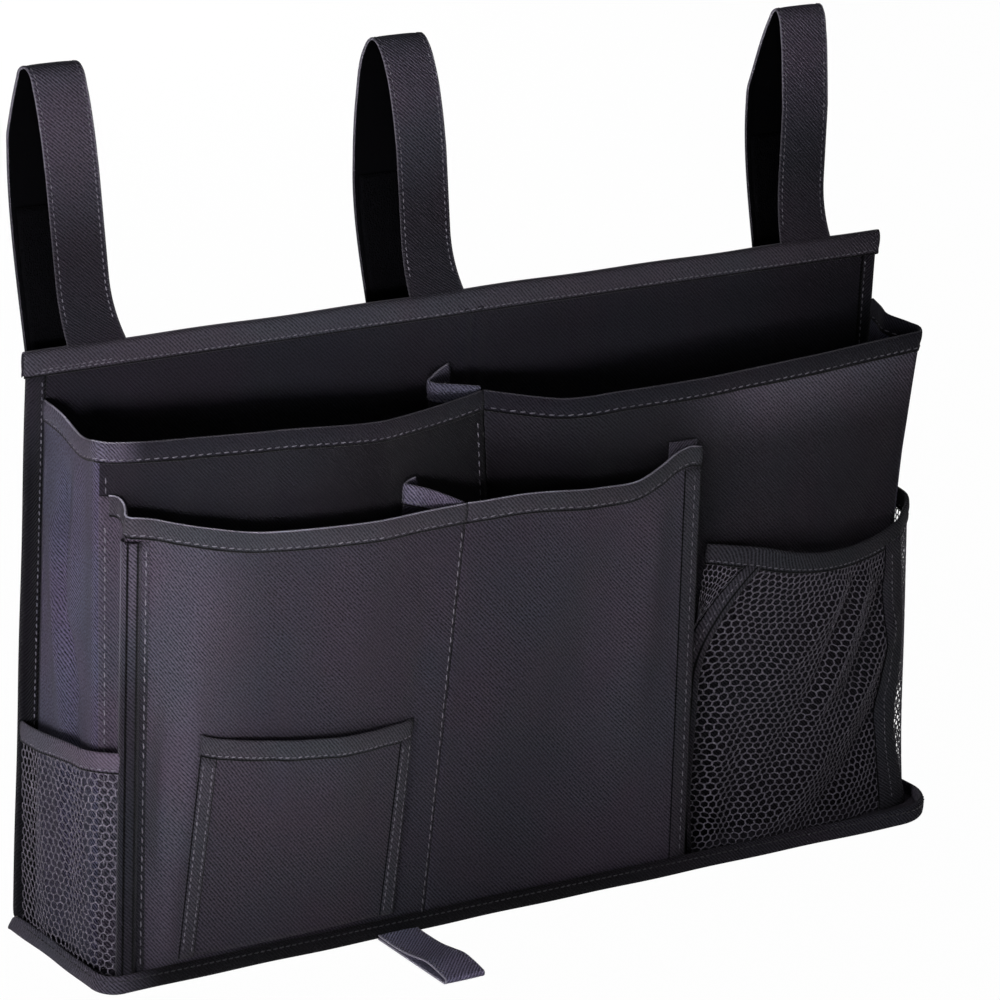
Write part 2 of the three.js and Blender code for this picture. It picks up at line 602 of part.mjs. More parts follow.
// Divider of the front pockets, folded to the left, from the front seam to the main pocket.
const frontFoldX = FRONT_SEAM_X - FRONT_DIVIDER_FOLD;
const frontReturnX = frontFoldX + FRONT_DIVIDER_RETURN;
const frontFoldTop = FRONT_HEM_SEAM + FRONT_DIVIDER_RISE;
const frontReturnDepth = mainFace(frontReturnX, frontFoldTop) + HEM_REACH + 2 * GAP;
const frontReturnFoot = mainFace(frontReturnX, WALL_FOOT) + HEM_REACH + 2 * GAP;
const footShift = FRONT_SEAM_FOOT_X - FRONT_SEAM_X;
const frontDivider = hang(
  legs([
    vec(FRONT_SEAM_X, -FRONT_DEPTH_SEAM + DIVIDER_SETBACK, FRONT_HEM_SEAM),
    vec(frontFoldX, -mix(FRONT_DEPTH_SEAM, frontReturnDepth, 0.5), frontFoldTop),
    vec(frontReturnX, -frontReturnDepth, frontFoldTop),
  ], DIVIDER_STEPS),
  legs([
    vec(FRONT_SEAM_FOOT_X, -FRONT_DEPTH + DIVIDER_SETBACK, WALL_FOOT),
    vec(frontFoldX + footShift, -mix(FRONT_DEPTH, frontReturnFoot, 0.5), WALL_FOOT),
    vec(frontReturnX, -frontReturnFoot, WALL_FOOT),
  ], DIVIDER_STEPS),
);
add('front_divider', ply(frontDivider, { rows: 2, hemmed: true }), TWILL);
add('front_divider_hem', hem(frontDivider), BINDING);

// Right gusset of the front pockets: folded flat between the front cloth and the main pocket.
function foldLine(x, z, frontDepth, frontReach) {
  const near = frontDepth - frontReach - FRONT_FOLD_SLACK - CLOTH / 2;
  const far = mainFace(x, z) + GAP + CLOTH / 2;
  return [
    vec(x - GAP, -near, z),
    vec(x - FRONT_FOLD_WIDTH, -near, z),
    vec(x - FRONT_FOLD_WIDTH - FACE_PITCH, -mix(near, far, 0.5), z),
    vec(x - FRONT_FOLD_WIDTH, -far, z),
    vec(x - GAP, -far, z),
  ];
}
const rightFold = hang(
  foldLine(FRONT_RIGHT_X, FRONT_HEM_RIGHT + FRONT_FOLD_RISE, frontRightDepth, HEM_REACH),
  foldLine(FRONT_RIGHT_FOOT_X, WALL_FOOT, FRONT_DEPTH, CLOTH / 2),
);
add('front_right_gusset', ply(rightFold, { rows: 2 }), TWILL);

// Tapes sewn down the outer face of a cloth, below its hem.
const onFace = { inner: CLOTH / 2 + GAP, outer: CLOTH / 2 + GAP + HEM_CLOTH };
const belowHem = { above: HEM_DROP + GAP, rows: FRONT_ROWS };
add('front_left_tape', ply(frontCloth, {
  first: PLEAT_STEPS,
  last: PLEAT_STEPS + 1,
  ...onFace,
  ...belowHem,
}), BINDING);
add('front_right_tape', ply(frontCloth, {
  first: frontCloth.last - 1,
  ...onFace,
  ...belowHem,
}), BINDING);

// Patch pocket: a bound cloth on the left front pocket, held by a tape down each side.
const PATCH_STEPS = 6;
const patchShare = PATCH_TAPE / PATCH_WIDTH;
function patchRun(place) {
  return [place(0), ...run(PATCH_STEPS, (t) => place(mix(patchShare, 1 - patchShare, t))), place(1)];
}
const patchStand = HEM_REACH + GAP + CLOTH / 2;
function patchSpot(distance, z, stand) {
  const v = (FRONT_HEM_SEAM - z) / (FRONT_HEM_SEAM - WALL_FOOT);
  const beyondTape = distance - frontCloth.pace(PLEAT_STEPS, v);
  const u = PLEAT_STEPS + 1 + beyondTape / frontCloth.pace(PLEAT_STEPS + 1, v);
  return offset(frontCloth.sample(u, v), stand).setZ(z);
}
const patchCloth = hang(
  patchRun((t) => patchSpot(
    PATCH_INSET_TOP + t * PATCH_WIDTH,
    mix(PATCH_TOP_LEFT, PATCH_TOP_RIGHT, Math.sqrt(t)),
    patchStand + PATCH_BULGE * arch(t),
  )),
  patchRun((t) => patchSpot(PATCH_INSET_FOOT + t * PATCH_WIDTH, PATCH_FOOT, FACE_PITCH)),
);
add('patch_pocket', ply(patchCloth, { rows: FRONT_ROWS, hemmed: true }), TWILL);
add('patch_hem', hem(patchCloth), BINDING);
add('patch_left_tape', ply(patchCloth, { last: 1, ...onFace, ...belowHem }), BINDING);
add('patch_right_tape', ply(patchCloth, { first: patchCloth.last - 1, ...onFace, ...belowHem }), BINDING);

// Left net: from the back edge, round the main gusset, to the left corner of the front pockets.
const netReach = CLOTH / 2 + GAP + NET_CLOTH / 2 + HEM_CLOTH + GAP;
const netWall = HALF_WIDTH + netReach;
const netFoot = HALF_WIDTH - NET_CLOTH / 2 - GAP;
const LEFT_NET_STEPS = 6;
const LEFT_NET_BEND = 5 / LEFT_NET_STEPS;
function leftNetLine(wall, z, zFront, cornerX, bow) {
  const corner = vec(cornerX - netReach, -FRONT_DEPTH + netReach, zFront);
  return run(LEFT_NET_STEPS, (t) => {
    const along = Math.min(t / LEFT_NET_BEND, 1);
    const rest = Math.max(0, (t - LEFT_NET_BEND) / (1 - LEFT_NET_BEND));
    const depth = mix(BACK_SEAT, pleatSeatFoot, along);
    const place = vec(wall - bow * arch(LEFT_NET_BEND * along), -depth, mix(z, zFront, t));
    return place.lerp(corner, rest);
  });
}
const cornerShare = (LEFT_NET_HEM_FRONT - WALL_FOOT) / (FRONT_HEM_LEFT - WALL_FOOT);
const netCornerX = mix(FRONT_LEFT_FOOT_X, FRONT_LEFT_X, cornerShare);
const leftNetCloth = hang(
  leftNetLine(-netWall, LEFT_NET_HEM_BACK, LEFT_NET_HEM_FRONT, netCornerX, LEFT_NET_BOW),
  leftNetLine(-netFoot, WALL_FOOT, WALL_FOOT, FRONT_LEFT_FOOT_X, 0),
);
add('left_net', net(leftNetCloth, 0, leftNetCloth.last), NET);
add('left_net_hem', band(leftNetCloth), BINDING);

// Right net: a short left gusset, a slack front and a bowed side, under one hem.
const NET_GUSSET_STEPS = 2;
const NET_FRONT_STEPS = 8;
const NET_RETURN_STEPS = 4;
const netCornerAt = NET_GUSSET_STEPS;
const netEdgeAt = NET_GUSSET_STEPS + NET_FRONT_STEPS;
function rightNetLine({ left, corner, edge, side, z, zMiddle, zEdge, bulge, bow }) {
  return [
    ...run(NET_GUSSET_STEPS, (t) => vec(mix(left.x, corner.x, t), mix(left.y, corner.y, t), z)).slice(0, -1),
    ...run(NET_FRONT_STEPS, (t) => vec(
      mix(corner.x, edge.x, t),
      mix(corner.y, edge.y, t) - bulge * arch(t),
      mix(z, zEdge, t) - zMiddle * arch(t),
    )).slice(0, -1),
    ...run(NET_RETURN_STEPS, (t) => vec(
      mix(edge.x, side.x, t) + bow * arch(t),
      mix(edge.y, side.y, t),
      zEdge,
    )),
  ];
}
const netSeat = (x, z) => -mainFace(x, z) - netReach;
const netLeftX = FRONT_RIGHT_X + RIGHT_NET_LEFT_REACH;
const netLeftFootX = FRONT_RIGHT_FOOT_X + RIGHT_NET_LEFT_FOOT_REACH;
// The front hangs in waves, and its left corner is drawn towards the front pockets.
function netSwell(i, v) {
  const t = (i - netCornerAt) / NET_FRONT_STEPS;
  const waves = t > 0 && t < 1 ? Math.sin(2 * Math.PI * RIGHT_NET_WAVES * t) : 0;
  const share = t < 0 ? i / netCornerAt : 1 - ease(t, 1 / NET_FRONT_STEPS, 0.5);
  return [-RIGHT_NET_CORNER_CURVE * share * arch(v), RIGHT_NET_WAVE * waves * arch(v)];
}
const rightNetCloth = hang(
  rightNetLine({
    left: vec(netLeftX, netSeat(netLeftX, RIGHT_NET_HEM_LEFT), 0),
    corner: vec(FRONT_RIGHT_X + RIGHT_NET_CORNER_REACH, -RIGHT_NET_CORNER_DEPTH, 0),
    edge: vec(HALF_WIDTH - RIGHT_NET_EDGE_INSET, -RIGHT_NET_EDGE_DEPTH, 0),
    side: vec(netWall, -BACK_SEAT, 0),
    z: RIGHT_NET_HEM_LEFT,
    zMiddle: RIGHT_NET_HEM_SAG,
    zEdge: RIGHT_NET_HEM_RIGHT,
    bulge: RIGHT_NET_BULGE,
    bow: RIGHT_NET_SIDE_BOW,
  }),
  rightNetLine({
    left: vec(netLeftFootX, netSeat(netLeftFootX, WALL_FOOT), 0),
    corner: vec(FRONT_RIGHT_FOOT_X + RIGHT_NET_CORNER_FOOT_REACH, -RIGHT_NET_CORNER_FOOT_DEPTH, 0),
    edge: vec(HALF_WIDTH - RIGHT_NET_EDGE_FOOT_INSET, -RIGHT_NET_EDGE_FOOT_DEPTH, 0),
    side: vec(netFoot, -BACK_SEAT, 0),
    z: WALL_FOOT,
    zMiddle: 0,
    zEdge: WALL_FOOT,
    bulge: RIGHT_NET_BULGE_FOOT,
    bow: RIGHT_NET_SIDE_BOW_FOOT,
  }),
  netSwell,
);
const netTapeSpan = NET_TAPE / rightNetCloth.pace(netCornerAt, 0);
const alongNet = { inner: -NET_CLOTH, outer: NET_CLOTH, above: HEM_DROP + GAP, rows: NET_SIDE_STEPS };
add('right_net_gusset', net(rightNetCloth, 0, netCornerAt, 0, GAP), NET);
add('right_net_front', net(rightNetCloth, netCornerAt + netTapeSpan, netEdgeAt - netTapeSpan, GAP, GAP), NET);
add('right_net_side', net(rightNetCloth, netEdgeAt, rightNetCloth.last, GAP, 0), NET);
add('right_net_hem', band(rightNetCloth), BINDING);
add('right_net_left_tape', ply(rightNetCloth, {
  first: netCornerAt,
  last: netCornerAt + netTapeSpan,
  startGap: GAP,
  ...alongNet,
}), BINDING);
add('right_net_right_tape', ply(rightNetCloth, {
  first: netEdgeAt - netTapeSpan,
  last: netEdgeAt,
  endGap: GAP,
  ...alongNet,
}), BINDING);

// A ribbon across a line in the Y-Z plane, with its middle and its half width set by height.
function ribbon(line, { middle, half, low, high }) {
  const normals = line.map((p, i) => {
    const before = line[Math.max(i - 1, 0)];
    const after = line[Math.min(i + 1, line.length - 1)];
    const ahead = after.clone().sub(before).normalize();
    return vec(0, ahead.z, -ahead.y);
  });
  const grid = (reach) => line.map((p, i) => {
    const spot = p.clone().addScaledVector(normals[i], reach);
    return [spot.clone().setX(middle(p.z) - half(p.z)), spot.setX(middle(p.z) + half(p.z))];
  });
  return sheet(grid(high), grid(low));
}

// Straps: a leg up from the top binding, a crown, and a tail down to a loop patch on the rear cloth.
const CROWN_STEPS = 5;
const LEG_STEPS = 4;
const TAIL_STEPS = 9;
const strapHalf = STRAP_CLOTH / 2;
const strapSeamZ = TOP_Z + GAP;
const strapMiddle = PANEL_STACK / 2;
const crownY = strapMiddle + STRAP_CROWN_DEPTH;
const tailBack = crownY + STRAP_BACK_DEPTH;
const patchFace = PANEL_STACK + GAP + LOOP_PATCH;
const tailSeat = patchFace + GAP + HOOK_TAPE + GAP + strapHalf;
const patchTopZ = PANEL_TOP - TOP_BINDING_DROP - STRAP_TAIL_DROP;
const tailEndZ = patchTopZ - LOOP_PATCH_HEIGHT;
const quarter = (t) => t * Math.PI / 2;
const straps = [
  { name: 'left', x: LEFT_STRAP_INSET - HALF_WIDTH, lean: LEFT_STRAP_LEAN, rise: LEFT_STRAP_RISE },
  { name: 'middle', x: MIDDLE_STRAP_X, lean: MIDDLE_STRAP_LEAN, rise: MIDDLE_STRAP_RISE },
  { name: 'right', x: HALF_WIDTH - RIGHT_STRAP_INSET, lean: RIGHT_STRAP_LEAN, rise: RIGHT_STRAP_RISE },
];
for (const { name, x, lean, rise } of straps) {
  const crownZ = strapSeamZ + rise;
  const backZ = crownZ - STRAP_BACK_DROP;
  const seatX = x + lean / 2;
  const legLine = [
    ...run(LEG_STEPS, (t) => vec(0, strapMiddle, mix(strapSeamZ, crownZ - STRAP_CROWN_DROP, t))).slice(0, -1),
    ...run(CROWN_STEPS, (t) => vec(
      0,
      crownY - STRAP_CROWN_DEPTH * Math.cos(quarter(t)),
      crownZ - STRAP_CROWN_DROP * (1 - Math.sin(quarter(t))),
    )),
  ];
  legLine.at(-1).y -= GAP;
  const tailLine = [
    ...run(CROWN_STEPS, (t) => vec(
      0,
      crownY + STRAP_BACK_DEPTH * Math.sin(quarter(t)),
      crownZ - STRAP_BACK_DROP * (1 - Math.cos(quarter(t))),
    )),
    ...run(TAIL_STEPS, (t) => vec(
      0,
      mix(tailBack, tailSeat, ease(t, 0, 1)),
      mix(backZ, patchTopZ, t),
    )).slice(1),
    vec(0, tailSeat, tailEndZ),
  ];
  tailLine[0].y += GAP;
  const flare = (z) => STRAP_FLARE * (1 - ease(z - strapSeamZ, 0, STRAP_FLARE_LENGTH));
  add(`${name}_strap_leg`, ribbon(legLine, {
    middle: (z) => x + lean * (z - strapSeamZ) / rise,
    half: (z) => (STRAP_WIDTH + flare(z)) / 2,
    low: -strapHalf,
    high: strapHalf,
  }), TWILL);
  const tailMiddle = (z) => mix(seatX, x + lean, Math.max(z - patchTopZ, 0) / (crownZ - patchTopZ));
  add(`${name}_strap_tail`, ribbon(tailLine, {
    middle: tailMiddle,
    half: () => STRAP_WIDTH / 2,
    low: -strapHalf,
    high: strapHalf,
  }), TWILL);
  add(`${name}_hook_tape`, ribbon(tailLine.slice(CROWN_STEPS), {
    middle: tailMiddle,
    half: () => STRAP_WIDTH / 2 - HOOK_TAPE_MARGIN,
    low: strapHalf + GAP,
    high: strapHalf + GAP + HOOK_TAPE,
  }), HOOK);
  box(
    `${name}_loop_patch`,
    HOOK,
    vec(seatX - LOOP_PATCH_WIDTH / 2, PANEL_STACK + GAP, tailEndZ),
    vec(seatX + LOOP_PATCH_WIDTH / 2, patchFace, patchTopZ),
  );
}

// Pull tab: a doubled tape that lies forward of the base binding.
const tabRoot = -BASE_DEPTH - GAP - BASE_BINDING - GAP;
const tabUpper = TAB_CLOTH * 1.5 + TAB_PLY_GAP;
const tabTurn = (tabUpper - TAB_CLOTH / 2) / 2;
const TAB_STEPS = 6;
const tabPly = TAB_LENGTH - tabTurn - TAB_CLOTH / 2;
const tabLine = [
  ...run(TAB_STEPS, (t) => vec(0, tabRoot - t * tabPly, TAB_CLOTH / 2)),
  vec(0, tabRoot - tabPly - tabTurn, TAB_CLOTH / 2 + tabTurn),
  ...run(TAB_STEPS, (t) => vec(0, tabRoot - (1 - t) * tabPly, tabUpper + TAB_ARCH * arch(t) ** 2)),
];
add('pull_tab', ribbon(tabLine, {
  middle: () => TAB_X,
  half: () => TAB_WIDTH / 2,
  low: -TAB_CLOTH / 2,
  high: TAB_CLOTH / 2,
}), TWILL);

export default caddy;
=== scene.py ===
# Bedside caddy of dark twill: a stiff bound back panel with layered pockets, two nets and strap loops.
# Lengths are worked out in millimetres from the front face of the back panel and placed in metres.
import math

import bpy
import numpy as np
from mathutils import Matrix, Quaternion, Vector


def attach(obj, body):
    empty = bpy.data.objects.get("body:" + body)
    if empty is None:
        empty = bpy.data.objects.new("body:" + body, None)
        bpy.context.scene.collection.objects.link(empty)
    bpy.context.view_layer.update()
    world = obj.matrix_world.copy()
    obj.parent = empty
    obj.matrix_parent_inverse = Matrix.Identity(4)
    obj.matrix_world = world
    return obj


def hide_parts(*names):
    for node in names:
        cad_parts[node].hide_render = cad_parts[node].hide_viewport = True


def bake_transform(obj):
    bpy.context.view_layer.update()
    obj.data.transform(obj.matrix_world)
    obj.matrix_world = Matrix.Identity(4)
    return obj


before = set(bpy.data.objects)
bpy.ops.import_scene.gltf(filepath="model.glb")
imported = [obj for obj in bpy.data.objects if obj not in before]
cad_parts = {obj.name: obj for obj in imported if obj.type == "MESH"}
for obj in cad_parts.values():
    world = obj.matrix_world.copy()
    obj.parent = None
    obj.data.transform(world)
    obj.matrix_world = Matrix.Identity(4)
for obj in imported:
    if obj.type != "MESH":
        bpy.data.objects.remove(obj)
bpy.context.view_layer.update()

# Stiffener boards: grey pressed fibreboard, die-cut to shape.
# One is slipped between the cloths of the back panel and one between the cloths of the base.


def srgb(red, green, blue):
    """A screen colour in linear light."""
    steps = [value / 255 for value in (red, green, blue)]
    return tuple(c / 12.92 if c <= 0.04045 else ((c + 0.055) / 1.055) ** 2.4 for c in steps) + (1.0,)


def new_finish(name):
    """A new material, its nodes, its way of linking them, and its shader."""
    finish = bpy.data.materials.new(name)
    finish.use_nodes = True
    nodes = finish.node_tree.nodes
    return finish, nodes, finish.node_tree.links.new, nodes["Principled BSDF"]


def speckled(name, scale, detail, tones, stops, relief, settings):
    """A finish of fine specks between two tones, raised where it has a relief of that strength and depth."""
    finish, nodes, link, shader = new_finish(name)
    place = nodes.new("ShaderNodeTexCoord")
    specks = nodes.new("ShaderNodeTexNoise")
    specks.inputs["Scale"].default_value = scale
    specks.inputs["Detail"].default_value = detail
    ramp = nodes.new("ShaderNodeValToRGB")
    for stop, position, tone in zip(ramp.color_ramp.elements, stops, tones):
        stop.position = position
        stop.color = srgb(*tone)
    link(place.outputs["Object"], specks.inputs["Vector"])
    link(specks.outputs["Fac"], ramp.inputs["Fac"])
    link(ramp.outputs["Color"], shader.inputs["Base Color"])
    if relief:
        strength, depth = relief
        bump = nodes.new("ShaderNodeBump")
        bump.inputs["Strength"].default_value = strength
        bump.inputs["Distance"].default_value = depth
        link(specks.outputs["Fac"], bump.inputs["Height"])
        link(bump.outputs["Normal"], shader.inputs["Normal"])
    for socket, value in settings.items():
        shader.inputs[socket].default_value = value
    return finish


BOARD_TONES = ((112, 107, 98), (150, 145, 134))
fibreboard = speckled("fibreboard", 420, 5, BOARD_TONES, (0.35, 0.7), (0.25, 0.0003), {"Roughness": 0.85})
for name in ("back_board", "base_board"):
    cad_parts[name].material_slots[0].material = fibreboard

# Base cloths: two layers of the twill, cut to the base with rounded front corners.
# They close over the base board and are caught together in the base binding.
HALF_WIDTH = 300.0
PANEL_STACK = 4.2
BASE_DEPTH = 104.0
BASE_CORNERS = {-1: 12.0, 1: 28.0}
CLOTH = 0.7
FRAME_SHIFT = np.array([0.0, 49.9, 0.0])
RIB_PITCH, RIB_WANDER, RIB_SHARE = 0.0017, 1.1, 0.78
YARN_PITCH, YARN_WANDER, YARN_SHARE = 0.0006, 0.3, 0.22
FUZZ_SCALE, FUZZ_SHARE, FUZZ_LEVEL = 720, 1.5, 0.7
BLOTCH_SCALE, WARMTH_SCALE = 24, 14
BAND_CORE = 1.7


def metres(spots):
    """Places in mm from the panel's front face, in metres in the frame."""
    return (np.asarray(spots, float) + FRAME_SHIFT) * 0.001


def twill(name, low, high, tint, bands=(), painted_light=()):
    """Twill cloth: diagonal ribs broken into yarns, blotches of another tint, and bands of wear, painted
    highlight and painted shade.

    A band is an axis of the cloth, a place and a width along it in mm, and a colour. A painted light is an
    axis of the bag, the places in metres where it starts and ends, and the share of the colour left there:
    shares below one paint shade and shares above one paint light.
    """
    finish, nodes, link, shader = new_finish(name)
    low, high, tint = (srgb(*tone) for tone in (low, high, tint))
    place = nodes.new("ShaderNodeTexCoord")
    turn = nodes.new("ShaderNodeMapping")
    turn.inputs["Rotation"].default_value = (0, 0, math.radians(-45))
    link(place.outputs["UV"], turn.inputs["Vector"])

    def waves(direction, pitch, wander):
        wave = nodes.new("ShaderNodeTexWave")
        wave.bands_direction = direction
        wave.inputs["Scale"].default_value = 2 * math.pi / (20 * pitch)
        wave.inputs["Distortion"].default_value = wander
        wave.inputs["Detail"].default_value = 1.5
        wave.inputs["Detail Scale"].default_value = 1.2
        link(turn.outputs["Vector"], wave.inputs["Vector"])
        return wave.outputs["Fac"]

    def noise(source, scale, detail):
        grain = nodes.new("ShaderNodeTexNoise")
        grain.inputs["Scale"].default_value = scale
        grain.inputs["Detail"].default_value = detail
        link(place.outputs[source], grain.inputs["Vector"])
        return grain.outputs["Fac"]

    def feed(sockets, values):
        for socket, value in zip(sockets, values):
            if isinstance(value, bpy.types.NodeSocket):
                link(value, socket)
            else:
                socket.default_value = value

    def blend(kind, amount, first, second):
        mixer = nodes.new("ShaderNodeMix")
        mixer.data_type = "RGBA"
        mixer.blend_type = kind
        feed((mixer.inputs[0], mixer.inputs[6], mixer.inputs[7]), (amount, first, second))
        return mixer.outputs[2]

    def sums(operation, first, second):
        step = nodes.new("ShaderNodeMath")
        step.operation = operation
        feed(step.inputs, (first, second))
        return step.outputs[0]

    def fade(value, start, end, low_share, high_share, kind="LINEAR"):
        spread = nodes.new("ShaderNodeMapRange")
        spread.interpolation_type = kind
        limits = (start, end, low_share, high_share)
        for socket, limit in zip(("From Min", "From Max", "To Min", "To Max"), limits):
            spread.inputs[socket].default_value = limit
        link(value, spread.inputs["Value"])
        return spread.outputs["Result"]

    ribs = sums("MULTIPLY", waves("X", RIB_PITCH, RIB_WANDER), RIB_SHARE)
    yarns = sums("MULTIPLY", waves("Y", YARN_PITCH, YARN_WANDER), YARN_SHARE)
    fuzz = sums("MULTIPLY", noise("UV", FUZZ_SCALE, 4), FUZZ_SHARE)
    lit = sums("SUBTRACT", sums("ADD", sums("ADD", ribs, yarns), fuzz), FUZZ_LEVEL)
    cloth_colour = blend("MIX", lit, low, high)
    blotches = fade(noise("Object", BLOTCH_SCALE, 4), 0.42, 0.72, 0.0, 0.35)
    cloth_colour = blend("MIX", blotches, cloth_colour, tint)
    warmth = nodes.new("ShaderNodeValToRGB")
    warmth.color_ramp.elements[0].position = 0.38
    warmth.color_ramp.elements[0].color = (0.94, 1.0, 1.02, 1)
    warmth.color_ramp.elements[1].position = 0.62
    warmth.color_ramp.elements[1].color = (1.06, 0.97, 1.02, 1)
    link(noise("Object", WARMTH_SCALE, 2), warmth.inputs["Fac"])
    cloth_colour = blend("MULTIPLY", 1.0, cloth_colour, warmth.outputs["Color"])
    parts = nodes.new("ShaderNodeSeparateXYZ")
    link(place.outputs["UV"], parts.inputs["Vector"])
    # Bands: pale lines of wear and painted highlight, and dark lines of painted shade in grooves and at
    # edges.
    for axis, spot, width, colour in bands:
        away = sums("ABSOLUTE", sums("SUBTRACT", parts.outputs[axis], spot * 0.001), 0.0)
        cloth_colour = blend("MIX", fade(away, 0.0, width * 0.001, BAND_CORE, 0.0), cloth_colour, colour)
    # Painted light and shade: smooth fades over the bag, from how the light falls on it.
    whereabouts = nodes.new("ShaderNodeSeparateXYZ")
    link(place.outputs["Object"], whereabouts.inputs["Vector"])
    for axis, start, end, share in painted_light:
        painted_fade = fade(whereabouts.outputs[axis], start, end, 1.0, share, "SMOOTHSTEP")
        cloth_colour = blend("MULTIPLY", 1.0, cloth_colour, painted_fade)
    link(cloth_colour, shader.inputs["Base Color"])
    bump = nodes.new("ShaderNodeBump")
    bump.inputs["Strength"].default_value = 0.7
    bump.inputs["Distance"].default_value = 0.0006
    link(lit, bump.inputs["Height"])
    link(bump.outputs["Normal"], shader.inputs["Normal"])
    shader.inputs["Roughness"].default_value = 0.82
    shader.inputs["Specular IOR Level"].default_value = 0.03
    shader.inputs["Sheen Weight"].default_value = 0.05
    shader.inputs["Sheen Roughness"].default_value = 0.5
    return finish


panel_twill = twill("panel_twill", (16, 15, 18), (77, 73, 81), (56, 50, 59))


def dress(piece, finish, body="bag"):
    """Gives a piece its finish and the body that it moves with."""
    piece.data.materials.clear()
    piece.data.materials.append(finish)
    if body:
        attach(piece, body)


def thicken(piece, thickness, offset=0.0):
    """Gives a cloth its thickness."""
    wall = piece.modifiers.new("thickness", "SOLIDIFY")
    wall.thickness = thickness * 0.001
    wall.offset = offset
    bpy.context.view_layer.objects.active = piece
    bpy.ops.object.modifier_apply(modifier=wall.name)


def base_cloth(name, low):
    """A flat layer with rounded front corners, its underside at a height above the floor."""
    bpy.ops.object.select_all(action="DESELECT")
    bpy.ops.mesh.primitive_plane_add(size=2)
    piece = bpy.context.object
    piece.name = piece.data.name = name
    for vertex in piece.data.vertices:
        across, along = vertex.co.x, vertex.co.y
        depth = PANEL_STACK if along > 0 else -BASE_DEPTH
        vertex.co = metres((across * HALF_WIDTH, depth, low + CLOTH / 2))
    for side, radius in BASE_CORNERS.items():
        bpy.ops.object.mode_set(mode="EDIT")
        bpy.ops.mesh.select_mode(type="VERT")
        bpy.ops.mesh.select_all(action="DESELECT")
        bpy.ops.object.mode_set(mode="OBJECT")
        corner = metres((side * HALF_WIDTH, -BASE_DEPTH, low + CLOTH / 2))
        for vertex in piece.data.vertices:
            vertex.select = bool(np.linalg.norm(np.array(vertex.co) - corner) < 1e-5)
        bpy.ops.object.mode_set(mode="EDIT")
        bpy.ops.mesh.bevel(affect="VERTICES", offset=radius * 0.001, segments=8)
        bpy.ops.object.mode_set(mode="OBJECT")
    thicken(piece, CLOTH)
    spread = piece.data.uv_layers[0].data
    for loop in piece.data.loops:
        spread[loop.index].uv = piece.data.vertices[loop.vertex_index].co.xy
    return piece


BASE_LAYERS = {"base_lower_cloth": 0.05, "base_upper_cloth": 3.45}
for name, low in BASE_LAYERS.items():
    layer = base_cloth(name + "_twill", low)
    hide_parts(name)
    dress(layer, panel_twill)

# Base binding: a folded twill tape round the edge of the base, stitched through near its top.
# It stands up as a rounded welt and takes in the feet of the pocket cloths.
WELT_SECTION = [
    (-1.4, 0.9), (-0.9, 0.15), (0.7, 0.05), (1.55, 0.9), (1.95, 3.0), (2.05, 5.4), (1.75, 8.1), (1.6, 9.4),
    (1.25, 10.6), (0.3, 11.4), (-0.8, 11.2), (-1.4, 10.0), (-1.5, 5.5),
]
WELT_OUTSET = 1.9
WELT_ROUNDING = 13.0


def surface(name, spots, thickness=None, offset=0.0, ring=False):
    """A grid of points made into cloth: columns run along it and rows run up it, facing outwards."""
    columns, rows = spots.shape[0] - 1, spots.shape[1] - 1
    bpy.ops.object.select_all(action="DESELECT")
    bpy.ops.mesh.primitive_grid_add(x_subdivisions=columns, y_subdivisions=rows, size=1)
    piece = bpy.context.object
    piece.name = piece.data.name = name
    mesh = piece.data
    flat = np.empty(3 * len(mesh.vertices))
    mesh.vertices.foreach_get("co", flat)
    flat = flat.reshape(-1, 3) + 0.5
    column = np.rint(flat[:, 0] * columns).astype(int)
    row = np.rint(flat[:, 1] * rows).astype(int)
    mesh.vertices.foreach_set("co", metres(spots[column, row]).ravel())
    along = np.linalg.norm(np.diff(spots, axis=0), axis=2).mean(axis=1)
    up = np.linalg.norm(np.diff(spots, axis=1), axis=2).mean(axis=0)
    across = np.append(0, np.cumsum(along))[column] * 0.001
    height = np.append(0, np.cumsum(up))[row] * 0.001
    corner = np.empty(len(mesh.loops), int)
    mesh.loops.foreach_get("vertex_index", corner)
    mesh.uv_layers[0].data.foreach_set("uv", np.stack([across, height], 1)[corner].ravel())
    mesh.update()
    if ring:
        bpy.ops.object.mode_set(mode="EDIT")
        bpy.ops.mesh.select_all(action="SELECT")
        bpy.ops.mesh.remove_doubles(threshold=1e-6)
        bpy.ops.mesh.fill_holes(sides=0)
        bpy.ops.object.mode_set(mode="OBJECT")
    if thickness:
        thicken(piece, thickness, offset)
    bpy.ops.object.shade_smooth()
    return piece


def smooth_line(points, knots, at):
    """A cubic line through points at their knots."""
    points = np.asarray(points, float)
    slopes = np.gradient(points, knots, axis=0)
    k = np.clip(np.searchsorted(knots, at, side="right") - 1, 0, len(knots) - 2)
    step = (knots[k + 1] - knots[k])[:, None]
    t = (at - knots[k])[:, None] / step
    rise = (1 + 2 * t) * (1 - t) ** 2 * points[k] + t * t * (3 - 2 * t) * points[k + 1]
    return rise + step * (t * (1 - t) ** 2 * slopes[k] + t * t * (t - 1) * slopes[k + 1])


def eased(points, count):
    """The same points drawn as a smooth line of count steps."""
    points = np.asarray(points, float)
    knots = np.append(0, np.cumsum(np.linalg.norm(np.diff(points, axis=0), axis=1)))
    return smooth_line(points, knots, np.linspace(0, knots[-1], count + 1))


